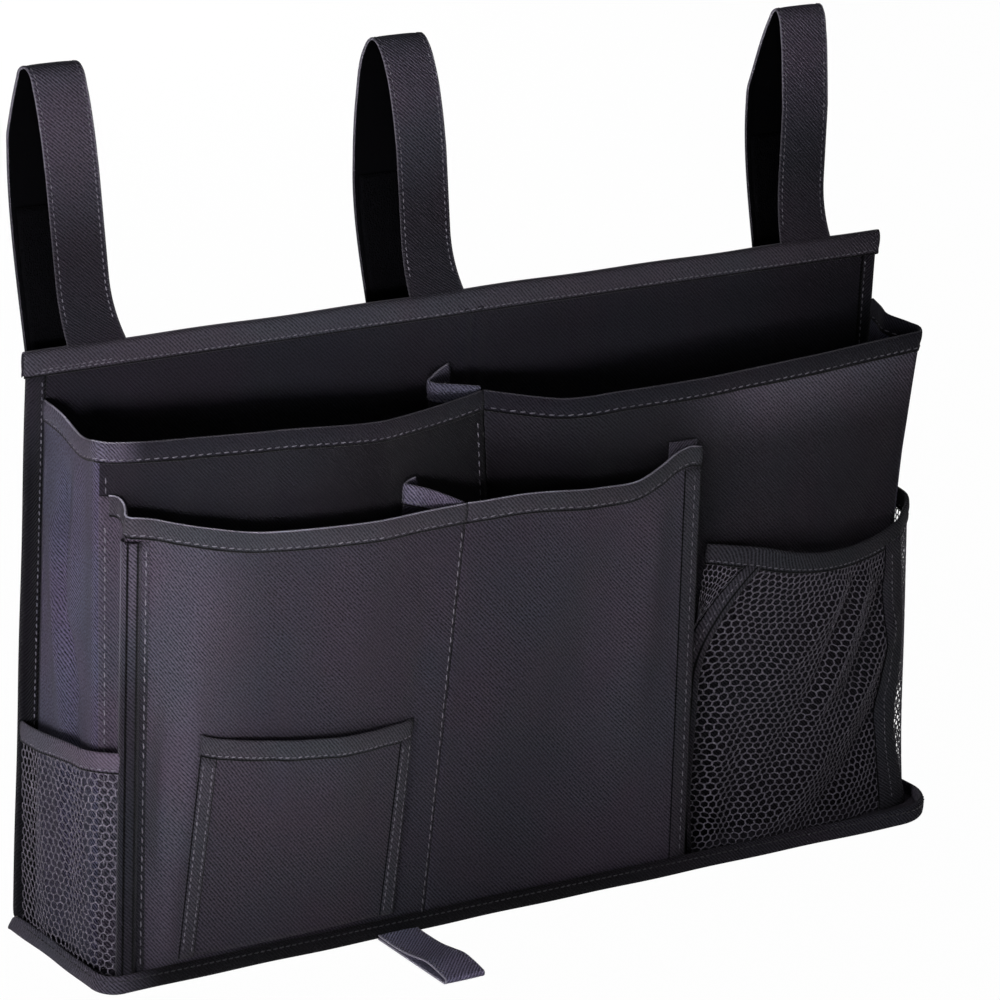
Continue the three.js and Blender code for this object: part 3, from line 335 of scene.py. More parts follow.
def base_edge(outset):
    """Points round the edge of the base, and the way out from it, from the left rear to the right rear."""
    left, right, front = -HALF_WIDTH - outset, HALF_WIDTH + outset, -BASE_DEPTH - outset
    near, far = BASE_CORNERS[-1] + outset, BASE_CORNERS[1] + outset
    turn = np.linspace(0, math.pi / 2, 13)
    line = [np.linspace((left, PANEL_STACK), (left, front + near), 28)[:-1]]
    line.append(np.stack([left + near - near * np.cos(turn), front + near - near * np.sin(turn)], 1))
    line.append(np.linspace((left + near, front), (right - far, front), 110)[1:-1])
    line.append(np.stack([right - far + far * np.sin(turn), front + far - far * np.cos(turn)], 1))
    line.append(np.linspace((right, front + far), (right, PANEL_STACK), 24)[1:])
    line = np.concatenate(line)
    ahead = np.gradient(line, axis=0)
    ahead /= np.linalg.norm(ahead, axis=1)[:, None]
    return line, np.stack([ahead[:, 1], -ahead[:, 0]], 1)


# Painted light and shade: the binding is lit at the left corner, nearly black along the front, and lighter
# again towards the right end.
welt_painted_light = [("X", -0.297, -0.262, 0.06), ("X", 0.0, 0.3, 13.0)]
binding_twill = twill("binding_twill", (22, 21, 24), (84, 81, 89), (57, 54, 62), painted_light=welt_painted_light)
edge_line, edge_out = base_edge(WELT_OUTSET)
section = eased(WELT_SECTION + WELT_SECTION[:1], 26)
station = np.arange(len(edge_line))
wobble = 0.35 * np.sin(station * 0.41) + 0.25 * np.sin(station * 0.17 + 2)
reach = section[None, :, 0] + wobble[:, None]
travel = np.append(0, np.cumsum(np.linalg.norm(np.diff(edge_line, axis=0), axis=1)))
ending = np.clip(np.minimum(travel, travel[-1] - travel) / WELT_ROUNDING, 0, 1)
ending = 0.3 + 0.7 * np.sqrt(ending * (2 - ending))
welt_spots = np.concatenate([
    edge_line[:, None, :] + edge_out[:, None, :] * reach[:, :, None],
    (section[None, :, 1] * ending[:, None])[:, :, None],
], axis=2)
welt_spots[:, -1] = welt_spots[:, 0]
base_binding = surface("base_binding_tape", welt_spots, ring=True)
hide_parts("base_binding")
dress(base_binding, binding_twill)

# Stitching: polyester thread sewn as a lockstitch, pale grey on the bag and painted dark round the base as
# shade.
# Each stitch is a short dash, 4 to 6 mm from the next, that dips into the cloth at both ends.
STITCH_PITCH = 4.3
STITCH_SHARE = 0.74
STITCH_SLANT, SLANT_SPREAD = 0.1, 0.05
ROW_MARGIN = 4
THREAD = 0.8
WELT_ROW_OUT, WELT_ROW_HEIGHT = 2.15, 8.6
# The second thread is the pale thread painted dark as shade, for the stitches round the base.
THREAD_TONES = {
    "stitching_thread": ((64, 62, 68), (108, 106, 112)),
    "painted_shade_stitching_thread": ((24, 23, 26), (46, 45, 49)),
}
THREAD_GLOSS = {"Roughness": 0.55, "Specular IOR Level": 0.2}
pale_thread, shaded_thread = (
    speckled(name, 160, 2, tones, (0.3, 0.75), None, THREAD_GLOSS) for name, tones in THREAD_TONES.items()
)
bpy.ops.object.select_all(action="DESELECT")
bpy.ops.mesh.primitive_cube_add(size=1)
stitch_model = bpy.context.object
bpy.ops.object.mode_set(mode="EDIT")
bpy.ops.mesh.subdivide(number_cuts=1)
bpy.ops.transform.tosphere(value=0.85)
bpy.ops.object.mode_set(mode="OBJECT")
stitch_shape = np.array([vertex.co for vertex in stitch_model.data.vertices])
stitch_shape /= np.ptp(stitch_shape, axis=0)
stitch_shape[:, 2] -= 0.55 * (2 * np.abs(stitch_shape[:, 0])) ** 2
stitch_faces = np.array([polygon.vertices[:] for polygon in stitch_model.data.polygons])
bpy.data.objects.remove(stitch_model)


def sew(name, rows, body="bag", pitch=STITCH_PITCH, finish=pale_thread):
    """Rows of stitches in one piece. Each row is the points of a line and the way out of the cloth there."""
    places = []
    jitter = np.random.default_rng(len(name))
    for line, out in rows:
        length = np.append(0, np.cumsum(np.linalg.norm(np.diff(line, axis=0), axis=1)))
        middles = np.arange(pitch, length[-1] - pitch / 2, pitch)
        centre = np.stack([np.interp(middles, length, line[:, k]) for k in range(3)], 1)
        normal = np.stack([np.interp(middles, length, out[:, k]) for k in range(3)], 1)
        ahead = np.stack([np.interp(middles + 1, length, line[:, k]) for k in range(3)], 1) - centre
        ahead /= np.linalg.norm(ahead, axis=1)[:, None]
        side = np.cross(normal, ahead)
        side /= np.linalg.norm(side, axis=1)[:, None]
        slant = jitter.normal(STITCH_SLANT, SLANT_SPREAD, len(middles))[:, None]
        ahead, side = ahead + slant * side, side - slant * ahead
        up = np.cross(ahead, side)
        shape = stitch_shape * np.array([STITCH_SHARE * pitch, THREAD, THREAD])
        places.append(
            centre[:, None, :]
            + shape[None, :, 0, None] * ahead[:, None, :]
            + shape[None, :, 1, None] * side[:, None, :]
            + shape[None, :, 2, None] * up[:, None, :]
        )
    spots = np.concatenate(places)
    count = len(stitch_shape)
    faces = stitch_faces[None] + (np.arange(len(spots)) * count)[:, None, None]
    mesh = bpy.data.meshes.new(name)
    mesh.from_pydata(metres(spots.reshape(-1, 3)), [], faces.reshape(-1, 4))
    piece = bpy.data.objects.new(name, mesh)
    bpy.context.scene.collection.objects.link(piece)
    for polygon in mesh.polygons:
        polygon.use_smooth = True
    dress(piece, finish, body)
    return piece


welt_line, welt_out = base_edge(WELT_OUTSET + WELT_ROW_OUT)
welt_line = np.column_stack([welt_line, np.full(len(welt_line), WELT_ROW_HEIGHT)])
welt_out = np.column_stack([welt_out, np.zeros(len(welt_out))])
welt_row = (welt_line[ROW_MARGIN:-ROW_MARGIN], welt_out[ROW_MARGIN:-ROW_MARGIN])
# Round the base the stitches take the thread painted dark as shade.
sew("base_binding_stitches", [welt_row], finish=shaded_thread)

# Back panel cloths: the front one is two widths of twill joined by an upright seam in the middle.
# The rear one is plain. Both lie on the stiffener board and are caught in the bindings.
PANEL_FOOT = 4.5
PANEL_TOP = 354.0
PANEL_FACE, PANEL_REAR = 0.35, 3.8
SEAM_DIP = 0.7
# Painted shade: the front cloth of the panel and the dividers, inside the pockets, take a darker copy of the
# twill.
shaded_inner_twill = twill("shaded_inner_twill", (7, 7, 9), (37, 35, 41), (26, 24, 30))


def panel_front(x, z):
    """How far the front cloth stands forward of the board's side, with the seam drawn in."""
    swell = 0.5 + 0.45 * np.sin(x * 0.021 + 0.6) * np.sin(z * 0.017) + 0.25 * np.sin(x * 0.051 + z * 0.02)
    beside = 0.7 * np.exp(-((np.abs(x) - 5) / 3.5) ** 2)
    return np.maximum(swell, 0) + beside - SEAM_DIP * np.exp(-((x / 1.3) ** 2)) * swell


columns = np.concatenate([
    np.linspace(-HALF_WIDTH, -14, 60),
    np.linspace(-12, 12, 25),
    np.linspace(14, HALF_WIDTH, 60),
])
x, z = np.meshgrid(columns, np.linspace(PANEL_FOOT, PANEL_TOP, 71), indexing="ij")
front_cloth = surface("back_front_cloth_twill", np.stack([x, PANEL_FACE - panel_front(x, z), z], 2), CLOTH)
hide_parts("back_front_cloth")
dress(front_cloth, shaded_inner_twill)
swell = 0.35 + 0.3 * np.sin(x * 0.018) * np.sin(z * 0.02 + 1)
rear_spots = np.stack([x, PANEL_REAR + np.maximum(swell, 0) * 0.5, z], 2)[::-1]
rear_cloth = surface("back_rear_cloth_twill", rear_spots, CLOTH)
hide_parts("back_rear_cloth")
dress(rear_cloth, panel_twill)

# Top binding: a twill tape folded over the upper edge of the panel and stitched along its lower edge.
# Its ends are turned in past the panel's sides, and the stitching is doubled by the left strap.
TOP_SECTION = [
    (-0.55, 340.9), (-1.15, 341.3), (-1.25, 342.4), (-1.0, 343.8), (-1.45, 346.2), (-1.85, 349.0),
    (-1.75, 352.2), (-1.0, 354.6), (0.4, 355.8), (2.1, 356.1), (3.8, 355.8), (5.2, 354.6), (5.95, 352.2),
    (6.05, 349.0), (5.65, 346.2), (5.2, 343.8), (5.45, 342.4), (5.35, 341.3), (4.75, 340.9),
]
TOP_END = 304.0
TAPE = 0.55
section = eased(TOP_SECTION, 36)
columns = np.concatenate([
    -TOP_END + np.array([0, 0.5, 1.2, 2, 3, 4.5]),
    np.linspace(-298, 298, 150),
    TOP_END - np.array([4.5, 3, 2, 1.2, 0.5, 0]),
])
pinch = np.clip((TOP_END - np.abs(columns)) / 3.0, 0, 1)
pinch = 0.45 + 0.55 * np.sqrt(pinch * (2 - pinch))
drift = 0.25 * np.sin(columns * 0.06) + 0.2 * np.sin(columns * 0.023 + 1)
PANEL_MIDDLE = PANEL_STACK / 2
top_spots = np.stack([
    np.broadcast_to(columns[:, None], (len(columns), len(section))),
    PANEL_MIDDLE + (section[None, :, 0] - PANEL_MIDDLE) * pinch[:, None],
    section[None, :, 1] + drift[:, None] * np.clip((section[None, :, 1] - 341) / 10, 0, 1),
], 2)
top_binding = surface("top_binding_tape", top_spots, TAPE, -1.0)
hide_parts("top_binding")
# Band colours: a pale tone that is partly wear and partly painted highlight, and a near black of painted
# shade.
PALE_WEAR_AND_HIGHLIGHT = srgb(112, 109, 116)
GROOVE_SHADE = srgb(4, 4, 5)
# The top of the fold is pale with wear and painted highlight, and the tape's lower edge has a dark line of
# painted shade.
top_bands = [("Y", 18.5, 2.0, PALE_WEAR_AND_HIGHLIGHT), ("Y", 0.9, 1.6, GROOVE_SHADE)]
top_twill = twill("top_binding_twill", (23, 22, 25), (72, 70, 76), (52, 49, 55), top_bands)
dress(top_binding, top_twill)
FORWARD = np.array([0.0, -1.0, 0.0])
TOP_ROW_END, TOP_ROW_Z = 301, 343.8
STRAP_ROW_START, STRAP_ROW_END, STRAP_ROW_Z = -296, -243, 345.6


def level_row(start, end, y, z, out, droop):
    """A stitch row along the panel, with a slight droop here and there."""
    x = np.linspace(start, end, 120)
    line = np.stack([x, np.full_like(x, y), z + droop * np.sin(x * 0.045)], 1)
    return line, np.broadcast_to(out, line.shape)


sew("top_binding_stitches", [
    level_row(-TOP_ROW_END, TOP_ROW_END, -1.15, TOP_ROW_Z, FORWARD, 0.3),
    level_row(STRAP_ROW_START, STRAP_ROW_END, -1.3, STRAP_ROW_Z, FORWARD, 0.5),
    level_row(-TOP_ROW_END, TOP_ROW_END, 5.35, TOP_ROW_Z, -FORWARD, 0.3),
])

# Edge bindings: the same tape folded over the two upright edges of the panel.
# Each takes in the rear edge of the pocket cloth and rounds off above the base binding.
EDGE_SECTION = [
    (-289.9, -0.55), (-290.3, -1.1), (-291.6, -1.2), (-292.9, -0.95), (-295.2, -1.4), (-298.0, -1.75),
    (-300.3, -1.2), (-301.3, 0.4), (-301.5, 2.1), (-301.3, 3.8), (-300.3, 5.4), (-298.0, 5.95),
    (-295.2, 5.6), (-292.9, 5.15), (-291.6, 5.4), (-290.3, 5.3), (-289.9, 4.75),
]
EDGE_FOOT, EDGE_TOP = 9.0, 341.5
EDGE_ROW_X, EDGE_ROW_Y, EDGE_ROW_BACK = 292.8, -1.1, 6.4
# Painted shade: dark lines along both edges of the tape, the tape darker than the panel cloth, and darker
# still below its upper part.
edge_bands = [("Y", 0.9, 1.6, GROOVE_SHADE), ("Y", 27.9, 1.6, GROOVE_SHADE)]
edge_painted_shade = [("Z", 0.318, 0.275, 0.36)]
edge_twill = twill("edge_twill", (8, 8, 10), (38, 37, 42), (26, 25, 29), edge_bands, edge_painted_shade)
heights = np.concatenate([EDGE_FOOT + np.array([0, 0.6, 1.5, 3, 5]), np.linspace(18, EDGE_TOP, 90)])
pinch = np.clip((heights - EDGE_FOOT) / 5.0, 0, 1)
pinch = 0.35 + 0.65 * np.sqrt(pinch * (2 - pinch))
section = eased(EDGE_SECTION, 32)
for side, name in ((-1, "left_edge_binding"), (1, "right_edge_binding")):
    out = -section[None, :, 0] + 0.2 * np.sin(heights * 0.05 + side)[:, None]
    spots = np.stack([
        side * out,
        PANEL_MIDDLE + (section[None, :, 1] - PANEL_MIDDLE) * pinch[:, None],
        np.broadcast_to(heights[:, None], (len(heights), len(section))),
    ], 2)
    binding = surface(name + "_tape", spots if side < 0 else spots[:, ::-1], TAPE, -1.0)
    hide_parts(name)
    dress(binding, edge_twill)
    climb = np.linspace(14, 340, 100)
    upright = np.stack([np.full_like(climb, side * EDGE_ROW_X), np.full_like(climb, EDGE_ROW_Y), climb], 1)
    behind = upright + (0, EDGE_ROW_BACK, 0)
    sew(name + "_stitches", [
        (upright, np.broadcast_to(FORWARD, upright.shape)),
        (behind, np.broadcast_to(-FORWARD, upright.shape)),
    ])

# Main pockets: one strip of twill from the left edge of the panel, round the front, to its right edge.
# It is sewn to the panel through a divider at the middle, so each half swells out by itself.


def facing(place, s, v):
    """The way out of a cloth at places along it and down it."""
    nudge = 0.002
    along = place(np.minimum(s + nudge, 1), v) - place(np.maximum(s - nudge, 0), v)
    down = place(s, np.minimum(v + nudge, 1)) - place(s, np.maximum(v - nudge, 0))
    out = np.cross(down, along)
    return out / np.linalg.norm(out, axis=1)[:, None]


def crease(size, start, end, width, height):
    """A rounded fold of a cloth of that size between two places given as shares along it and down it."""
    a, b = np.array(start) * size, np.array(end) * size

    def lift(s, v):
        spot = np.stack([s, v], 1) * size
        t = np.clip(((spot - a) @ (b - a)) / ((b - a) @ (b - a)), 0, 1)
        away = np.linalg.norm(spot - a - t[:, None] * (b - a), axis=1)
        return height * np.exp(-((away / width) ** 2)) * (0.35 + 0.65 * np.sin(np.pi * (0.1 + 0.8 * t)))

    return lift


class Cloth:
    """Cloth hung between an upper and a lower line, swayed bodily and folded along its own normal.

    A station is a point of the upper line and the place of its foot. The folds go by the size of the cloth.
    """

    def __init__(self, stations, size=None, folds=(), sway=None, foot=PANEL_FOOT):
        stations = np.array(stations, float)
        self.upper = stations[:, :3]
        self.lower = np.column_stack([stations[:, 3:], np.full(len(stations), foot)])
        steps = sum(np.linalg.norm(np.diff(line, axis=0), axis=1) for line in (self.upper, self.lower)) / 2
        self.knots = np.append(0, np.cumsum(steps)) / steps.sum()
        self.length = steps.sum()
        self.sway = sway
        self.folds = [crease(size, *fold) for fold in folds]

    def bare(self, s, v):
        top, foot = (smooth_line(line, self.knots, s) for line in (self.upper, self.lower))
        spots = top + (foot - top) * v[:, None]
        return spots if self.sway is None else spots + self.sway(s, v)

    def at(self, s, v):
        spots = self.bare(s, v)
        if not self.folds:
            return spots
        return spots + facing(self.bare, s, v) * sum(fold(s, v) for fold in self.folds)[:, None]

    def out(self, s, v):
        return facing(self.at, s, v)

    def drop(self, s):
        return np.linalg.norm(self.at(s, np.zeros_like(s)) - self.at(s, np.ones_like(s)), axis=1)

    def share(self, index):
        return self.knots[index]

    def depth(self, x, z):
        """How far forward the cloth lies at a place seen from the front."""
        s, v = (grid.ravel() for grid in np.meshgrid(np.linspace(0, 1, 161), np.linspace(0, 1, 81)))
        spots = self.at(s, v)
        near = np.argmin((spots[:, 0] - x) ** 2 + (spots[:, 2] - z) ** 2)
        return spots[near, 1]


WHOLE = (0.0, 1.0)


def hang_cloth(name, cloth, along=WHOLE, down=WHOLE, pitch=(3.2, 5.0), thickness=CLOTH, lift=None):
    """A cloth's surface made into a piece, whole or in part, lifted off the cloth where a lift is given."""
    columns = max(4, round(cloth.length * (along[1] - along[0]) / pitch[0]))
    rows = max(4, round(cloth.drop(np.array([0.5]))[0] * (down[1] - down[0]) / pitch[1]))
    grids = np.meshgrid(np.linspace(*along, columns + 1), np.linspace(*down[::-1], rows + 1), indexing="ij")
    s, v = (grid.ravel() for grid in grids)
    spots = cloth.at(s, v)
    if lift:
        spots = spots + cloth.out(s, v) * lift(s, v)[:, None]
    return surface(name, spots.reshape(columns + 1, rows + 1, 3), thickness)


def below_edge(cloth, s, depth, reach):
    """Points at a depth below a cloth's upper edge, or above it, and a reach outwards."""
    v = np.maximum(depth, 0) / cloth.drop(s)
    out = cloth.out(s, v)
    spots = cloth.at(s, v) + out * np.asarray(reach)[:, None]
    spots[:, 2] += np.maximum(-depth, 0)
    return spots, out


HEM_SECTION = [
    (12.0, 0.5), (11.6, 1.05), (10.6, 1.15), (9.4, 0.85), (7.4, 1.2), (5.0, 1.5), (2.4, 1.45), (0.6, 1.2),
    (-0.6, 0.75), (-1.1, 0.0), (-0.6, -0.75), (0.6, -1.15), (2.4, -1.3), (5.0, -1.3), (7.4, -1.1),
    (9.4, -0.85), (10.6, -1.05), (11.6, -1.0), (12.0, -0.5),
]
HEM_ROW, HEM_ROW_LIFT, HEM_STEP = 9.4, 1.0, 3.0
HEM_PITCH, STITCH_LIFT = 5.8, 0.15
# Hem bands: a pale line at the fold, partly wear and partly painted highlight, and dark lines of painted
# shade along both edges of the tape.
FOLD_WEAR_AND_HIGHLIGHT = srgb(150, 147, 156)
SHADED_EDGE_BANDS = [("Y", 0.8, 1.5, GROOVE_SHADE), ("Y", 27.1, 1.5, GROOVE_SHADE)]
HEM_BANDS = [("Y", 13.6, 0.9, FOLD_WEAR_AND_HIGHLIGHT)] + SHADED_EDGE_BANDS
# Painted light and shade: the main hem is a lit lilac over the left gusset and darkened along the front.
main_hem_painted_shade = [("X", -0.29, -0.268, 0.2)]
main_hem_lit_tones = (24, 23, 28), (86, 83, 94), (60, 57, 67)
main_hem_twill = twill("main_hem_twill", *main_hem_lit_tones, HEM_BANDS, main_hem_painted_shade)
# Painted light and shade: lit and shaded copies of the pocket twill. The left half is dark and darker
# towards the middle; the right half is lighter, and darker towards the middle and towards the bottom.
main_left_painted_shade = [("X", -0.19, -0.1, 0.45)]
main_right_painted_shade = [("X", 0.18, 0.09, 0.23), ("Z", 0.3, 0.25, 0.28)]
main_left_shaded_tones = (6, 6, 7), (36, 34, 39), (26, 23, 29)
main_right_lit_tones = (19, 19, 22), (94, 90, 99), (67, 62, 72)
main_twill = {
    "left": twill("main_left_twill", *main_left_shaded_tones, painted_light=main_left_painted_shade),
    "right": twill("main_right_twill", *main_right_lit_tones, painted_light=main_right_painted_shade),
}
# Painted light: a lighter, more violet copy of the pocket twill for the side faces, lit from the left.
lit_gusset_twill = twill("lit_gusset_twill", (2, 2, 3), (84, 81, 98), (40, 37, 48))


def hem_cloth(name, cloth, along=WHOLE):
    """A tape folded over the upper edge of a cloth."""
    section = eased(HEM_SECTION, 32)
    stations = np.linspace(*along, max(6, round(cloth.length * (along[1] - along[0]) / HEM_STEP)) + 1)
    s, k = (grid.ravel() for grid in np.meshgrid(stations, np.arange(len(section)), indexing="ij"))
    spots, _ = below_edge(cloth, s, section[k, 0], section[k, 1])
    return surface(name, spots.reshape(len(stations), len(section), 3), TAPE, -1.0)


def hem_rows(cloth, along=WHOLE):
    """The stitch rows on the two sides of a hem."""
    s = np.linspace(*along, 160)
    near, out = below_edge(cloth, s, np.full_like(s, HEM_ROW), np.full_like(s, HEM_ROW_LIFT))
    far, _ = below_edge(cloth, s, np.full_like(s, HEM_ROW), np.full_like(s, -HEM_ROW_LIFT))
    return [(near, out), (far, -out)]


def face_row(cloth, start, end, lift=CLOTH / 2 + STITCH_LIFT):
    """A stitch row on the outer face of a cloth between two places given as shares."""
    t = np.linspace(0, 1, 120)
    s, v = start[0] + (end[0] - start[0]) * t, start[1] + (end[1] - start[1]) * t
    out = cloth.out(s, v)
    return cloth.at(s, v) + out * lift, out


MAIN_LEFT_STATIONS = [
    (-292, -2.5, 327, -290, -2.5),
    (-293.5, -18, 327, -290.5, -20),
    (-293.5, -27, 325.6, -291, -30),
    (-293, -36, 322.3, -291, -40),
    (-294.5, -48, 320.6, -291, -52),
    (-297.5, -64, 322.8, -291.7, -66),
    (-299.8, -73.5, 325.6, -292, -74),
    (-298.8, -77.3, 325.8, -290.8, -77.7),
    (-295, -78, 325, -287, -78),
    (-286, -77.6, 323.5, -277, -78),
    (-233, -77, 319, -225, -77.5),
    (-166, -75, 314, -160, -77),
    (-107, -68, 308, -100, -76.3),
    (-64.5, -55, 306, -57, -75.7),
    (-28, -43, 305.8, -20, -75.1),
    (-17.3, -40, 306.3, -9.3, -75),
]
MAIN_RIGHT_STATIONS = [
    (-16.7, -40, 306.3, -8.7, -75),
    (1.5, -52, 304.4, 8, -74.8),
    (22, -64, 302.8, 28, -74.6),
    (60, -72, 304.6, 65, -74),
    (117, -74, 305.2, 120, -73.3),
    (195, -68, 306, 195, -72.4),
    (263, -60, 306.4, 258, -71.6),
    (290, -56.4, 306.3, 281, -71.2),
    (297.5, -55.2, 306.4, 288.5, -71),
    (300, -52.2, 306.8, 290.3, -68.5),
    (298.5, -42, 308, 289.3, -52),
    (292.5, -28, 310, 288.5, -35),
    (297, -14, 311, 289, -18),
    (300, -2.5, 312, 290, -2.5),
]
LEFT_CORNER_SEAM = 8
RIGHT_WAIST, RIGHT_WAIST_START, RIGHT_CORNER = 12.0, 5, 8
GUSSET_FACING, GUSSET_SIDE = 0.5, 0.27
MIDDLE_SEAM = 0.985


def right_waist(s, v):
    """The right corner is drawn in at half height."""
    corner, first = main_right.share(RIGHT_CORNER), main_right.share(RIGHT_WAIST_START)
    before = np.clip((s - first) / (corner - first), 0, 1)
    after = np.clip((1 - s) / (1 - corner), 0, 1)
    pull = np.where(s < corner, before * before * (3 - 2 * before), after)
    return np.stack([-RIGHT_WAIST * pull * np.sin(np.pi * v), 0 * s, 0 * s], 1)


MAIN_SIZE = np.array([360.0, 315.0])
main_left = Cloth(MAIN_LEFT_STATIONS, MAIN_SIZE, [
    ((0.09, 0.1), (0.075, 0.33), 6, -5.0),
    ((0.075, 0.33), (0.125, 0.5), 6, -5.0),
    ((0.115, 0.5), (0.155, 0.88), 6, -5.0),
    ((0.13, 0.08), (0.115, 0.36), 7, 4.0),
    ((0.045, 0.22), (0.085, 0.56), 7, 4.0),
    ((0.07, 0.62), (0.115, 0.9), 7, 4.0),
    ((0.36, 0.05), (0.33, 0.2), 12, 2.0),
    ((0.55, 0.02), (0.53, 0.25), 12, -1.4),
    ((0.75, 0.02), (0.78, 0.3), 12, 1.6),
])
main_right = Cloth(MAIN_RIGHT_STATIONS, MAIN_SIZE, [
    ((0.18, 0.05), (0.12, 0.3), 14, 3.0),
    ((0.45, 0.06), (0.4, 0.35), 18, -2.6),
    ((0.62, 0.03), (0.68, 0.45), 16, 1.4),
    ((0.8, 0.25), (0.72, 0.5), 12, -1.8),
    ((0.93, 0.05), (0.93, 0.6), 6, -2.0),
], right_waist)
for cloth, name in ((main_left, "left"), (main_right, "right")):
    pocket = hang_cloth(f"main_pocket_{name}_twill", cloth)
    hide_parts(f"main_pocket_{name}")
    dress(pocket, main_twill[name])
    # Faces turned to the side take the gusset twill's painted light.
    pocket.data.materials.append(lit_gusset_twill)
    for polygon in pocket.data.polygons:
        sideways = abs(polygon.normal.x) > GUSSET_FACING
        polygon.material_index = int(sideways and abs(polygon.center.x) > GUSSET_SIDE)
    edge = hem_cloth(f"main_hem_{name}_tape", cloth)
    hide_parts(f"main_hem_{name}")
    dress(edge, main_hem_twill)
    rows = hem_rows(cloth)
    if name == "left":
        corner_seam = cloth.share(LEFT_CORNER_SEAM)
        rows.append(face_row(cloth, (corner_seam, 0.05), (corner_seam, 0.99)))
        rows.append(face_row(cloth, (MIDDLE_SEAM, 0.045), (MIDDLE_SEAM, 0.4)))
    seams = sew(f"main_pocket_{name}_stitches", rows, pitch=HEM_PITCH)

# Main divider: a folded gusset of twill between the seam of the main pockets and the back panel.
# It lets both halves swell out, and its upper edge is bound like theirs.
MAIN_DIVIDER_STATIONS = [
    (-17.2, -37.4, 308, -9.2, -72.2),
    (-25, -34, 308.6, -17, -63),
    (-35, -28.5, 309, -28, -50),
    (-41.5, -23.5, 309.2, -34, -40),
    (-42, -20, 309.4, -34.5, -36),
    (-36, -14, 310, -28, -25),
    (-26, -7, 311, -18, -13),
    (-17, -2.2, 312, -9, -2.2),
]
divider_twill = twill("divider_hem_twill", (28, 27, 34), (100, 97, 110), (72, 68, 81), HEM_BANDS)


def divider(name, stations):
    """A folded gusset with its bound and stitched upper edge."""
    cloth = Cloth(stations)
    fold = hang_cloth(f"{name}_twill", cloth)
    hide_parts(name)
    dress(fold, shaded_inner_twill)
    edge = hem_cloth(f"{name}_hem_tape", cloth)
    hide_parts(f"{name}_hem")
    dress(edge, divider_twill)
    seams = sew(f"{name}_stitches", hem_rows(cloth))
    return fold, [edge, seams]


fold, trim = divider("main_divider", MAIN_DIVIDER_STATIONS)

# Front pockets: a second strip of twill, pleated at its left end and folded flat at its right end.
# A seam divides it, and a rolled tape closes the left corner and another the right edge.
FRONT_LEFT_STATIONS = [
    (-299, -79.2, 295, -291, -79.3),
    (-293, -79.5, 294, -285.5, -79.7),
    (-287.5, -80.8, 292.6, -280.5, -81.7),
    (-286.5, -84.5, 291, -279.8, -86),
    (-288.5, -91, 288.6, -282.5, -92.5),
    (-291.3, -97, 286.9, -286, -97.2),
    (-290.6, -99.5, 286.7, -285.4, -99.6),
    (-286.8, -100.1, 286.2, -281.8, -100.1),
    (-276, -100.7, 284, -271, -100.3),
    (-261, -102, 279.5, -258, -100.5),
    (-240, -103, 274, -240, -100.5),
    (-208, -104, 266.8, -211, -100.5),
    (-167, -103, 262.8, -176, -100.3),
    (-124, -99, 259.8, -139, -100),
    (-90, -94.5, 258.8, -108, -100),
    (-59.3, -92, 258.4, -81.3, -100),
]
FRONT_RIGHT_STATIONS = [
    (-58.7, -92, 258.4, -80.7, -100),
    (-50, -92.6, 258.4, -72, -100),
    (-24.5, -95, 259.4, -47, -100),
    (31, -98, 256.4, 15, -100),
    (60, -96.5, 256, 48, -100),
    (79, -90.2, 259.8, 70, -100),
    (101, -81.6, 264.8, 94, -100),
    (109.6, -79.6, 265.4, 102, -100),
    (117, -79.4, 264, 108.4, -100),
]
FRONT_LEFT_SIZE = np.array([258.0, 262.0])
FRONT_RIGHT_SIZE = np.array([178.0, 255.0])
front_left = Cloth(FRONT_LEFT_STATIONS, FRONT_LEFT_SIZE, [
    ((0.24, 0.44), (0.232, 0.74), 10, -9.5),
    ((0.3, 0.3), (0.285, 0.66), 8, 2.6),
    ((0.27, 0.62), (0.24, 0.98), 7, 3.2),
    ((0.34, 0.06), (0.28, 0.36), 16, 3.4),
    ((0.5, 0.06), (0.44, 0.44), 18, -3.2),
    ((0.76, 0.06), (0.68, 0.5), 18, 3.2),
    ((0.93, 0.15), (0.9, 0.75), 9, -2.4),
    ((0.9, 0.5), (0.84, 0.85), 9, 1.3),
])
front_right = Cloth(FRONT_RIGHT_STATIONS, FRONT_RIGHT_SIZE, [
    ((0.07, 0.1), (0.06, 0.8), 8, -1.2),
    ((0.46, 0.1), (0.2, 0.55), 18, 3.6),
    ((0.62, 0.08), (0.5, 0.6), 18, -3.0),
    ((0.8, 0.1), (0.74, 0.6), 12, 2.8),
])
FRONT_CORNER, FRONT_HEM_START = 6, 1
CORNER_TAPE, CORNER_TAPE_BEFORE, CORNER_ROLL = 12.0, 0.016, 0.62
RIGHT_EDGE_TAPE = 13
CORNER_SEAM_IN, RIGHT_SEAM_IN = 0.01, 0.042
PLEAT_SEAM, FRONT_SEAM = 0.014, 0.993
# A painted highlight for the crest of the rolled corner tape.
ROLL_CREST_HIGHLIGHT = srgb(92, 89, 98)


def strip_cloth(name, cloth, along, down, height=1.6, base=0.75, roll=1.0):
    """A tape sewn down on the outer face of a cloth, rolled over a share of its width, with painted shade
    along its edges.
    """

    def lift(s, v):
        across = np.clip((s - along[0]) / (along[1] - along[0]) / roll, 0, 1)
        return base + (height - base) * np.sqrt(4 * across * (1 - across))

    strip = hang_cloth(name, cloth, along, down, (0.9, 5.0), TAPE, lift)
    width = cloth.length * (along[1] - along[0])
    # Painted shade: a dark line along each edge of the tape.
    edges = [("X", spot, 1.1, GROOVE_SHADE) for spot in (0.0, width)]
    strip_twill = twill(name + "_twill", (21, 21, 23), (68, 66, 71), (47, 45, 50), edges)
    dress(strip, strip_twill)
    return strip


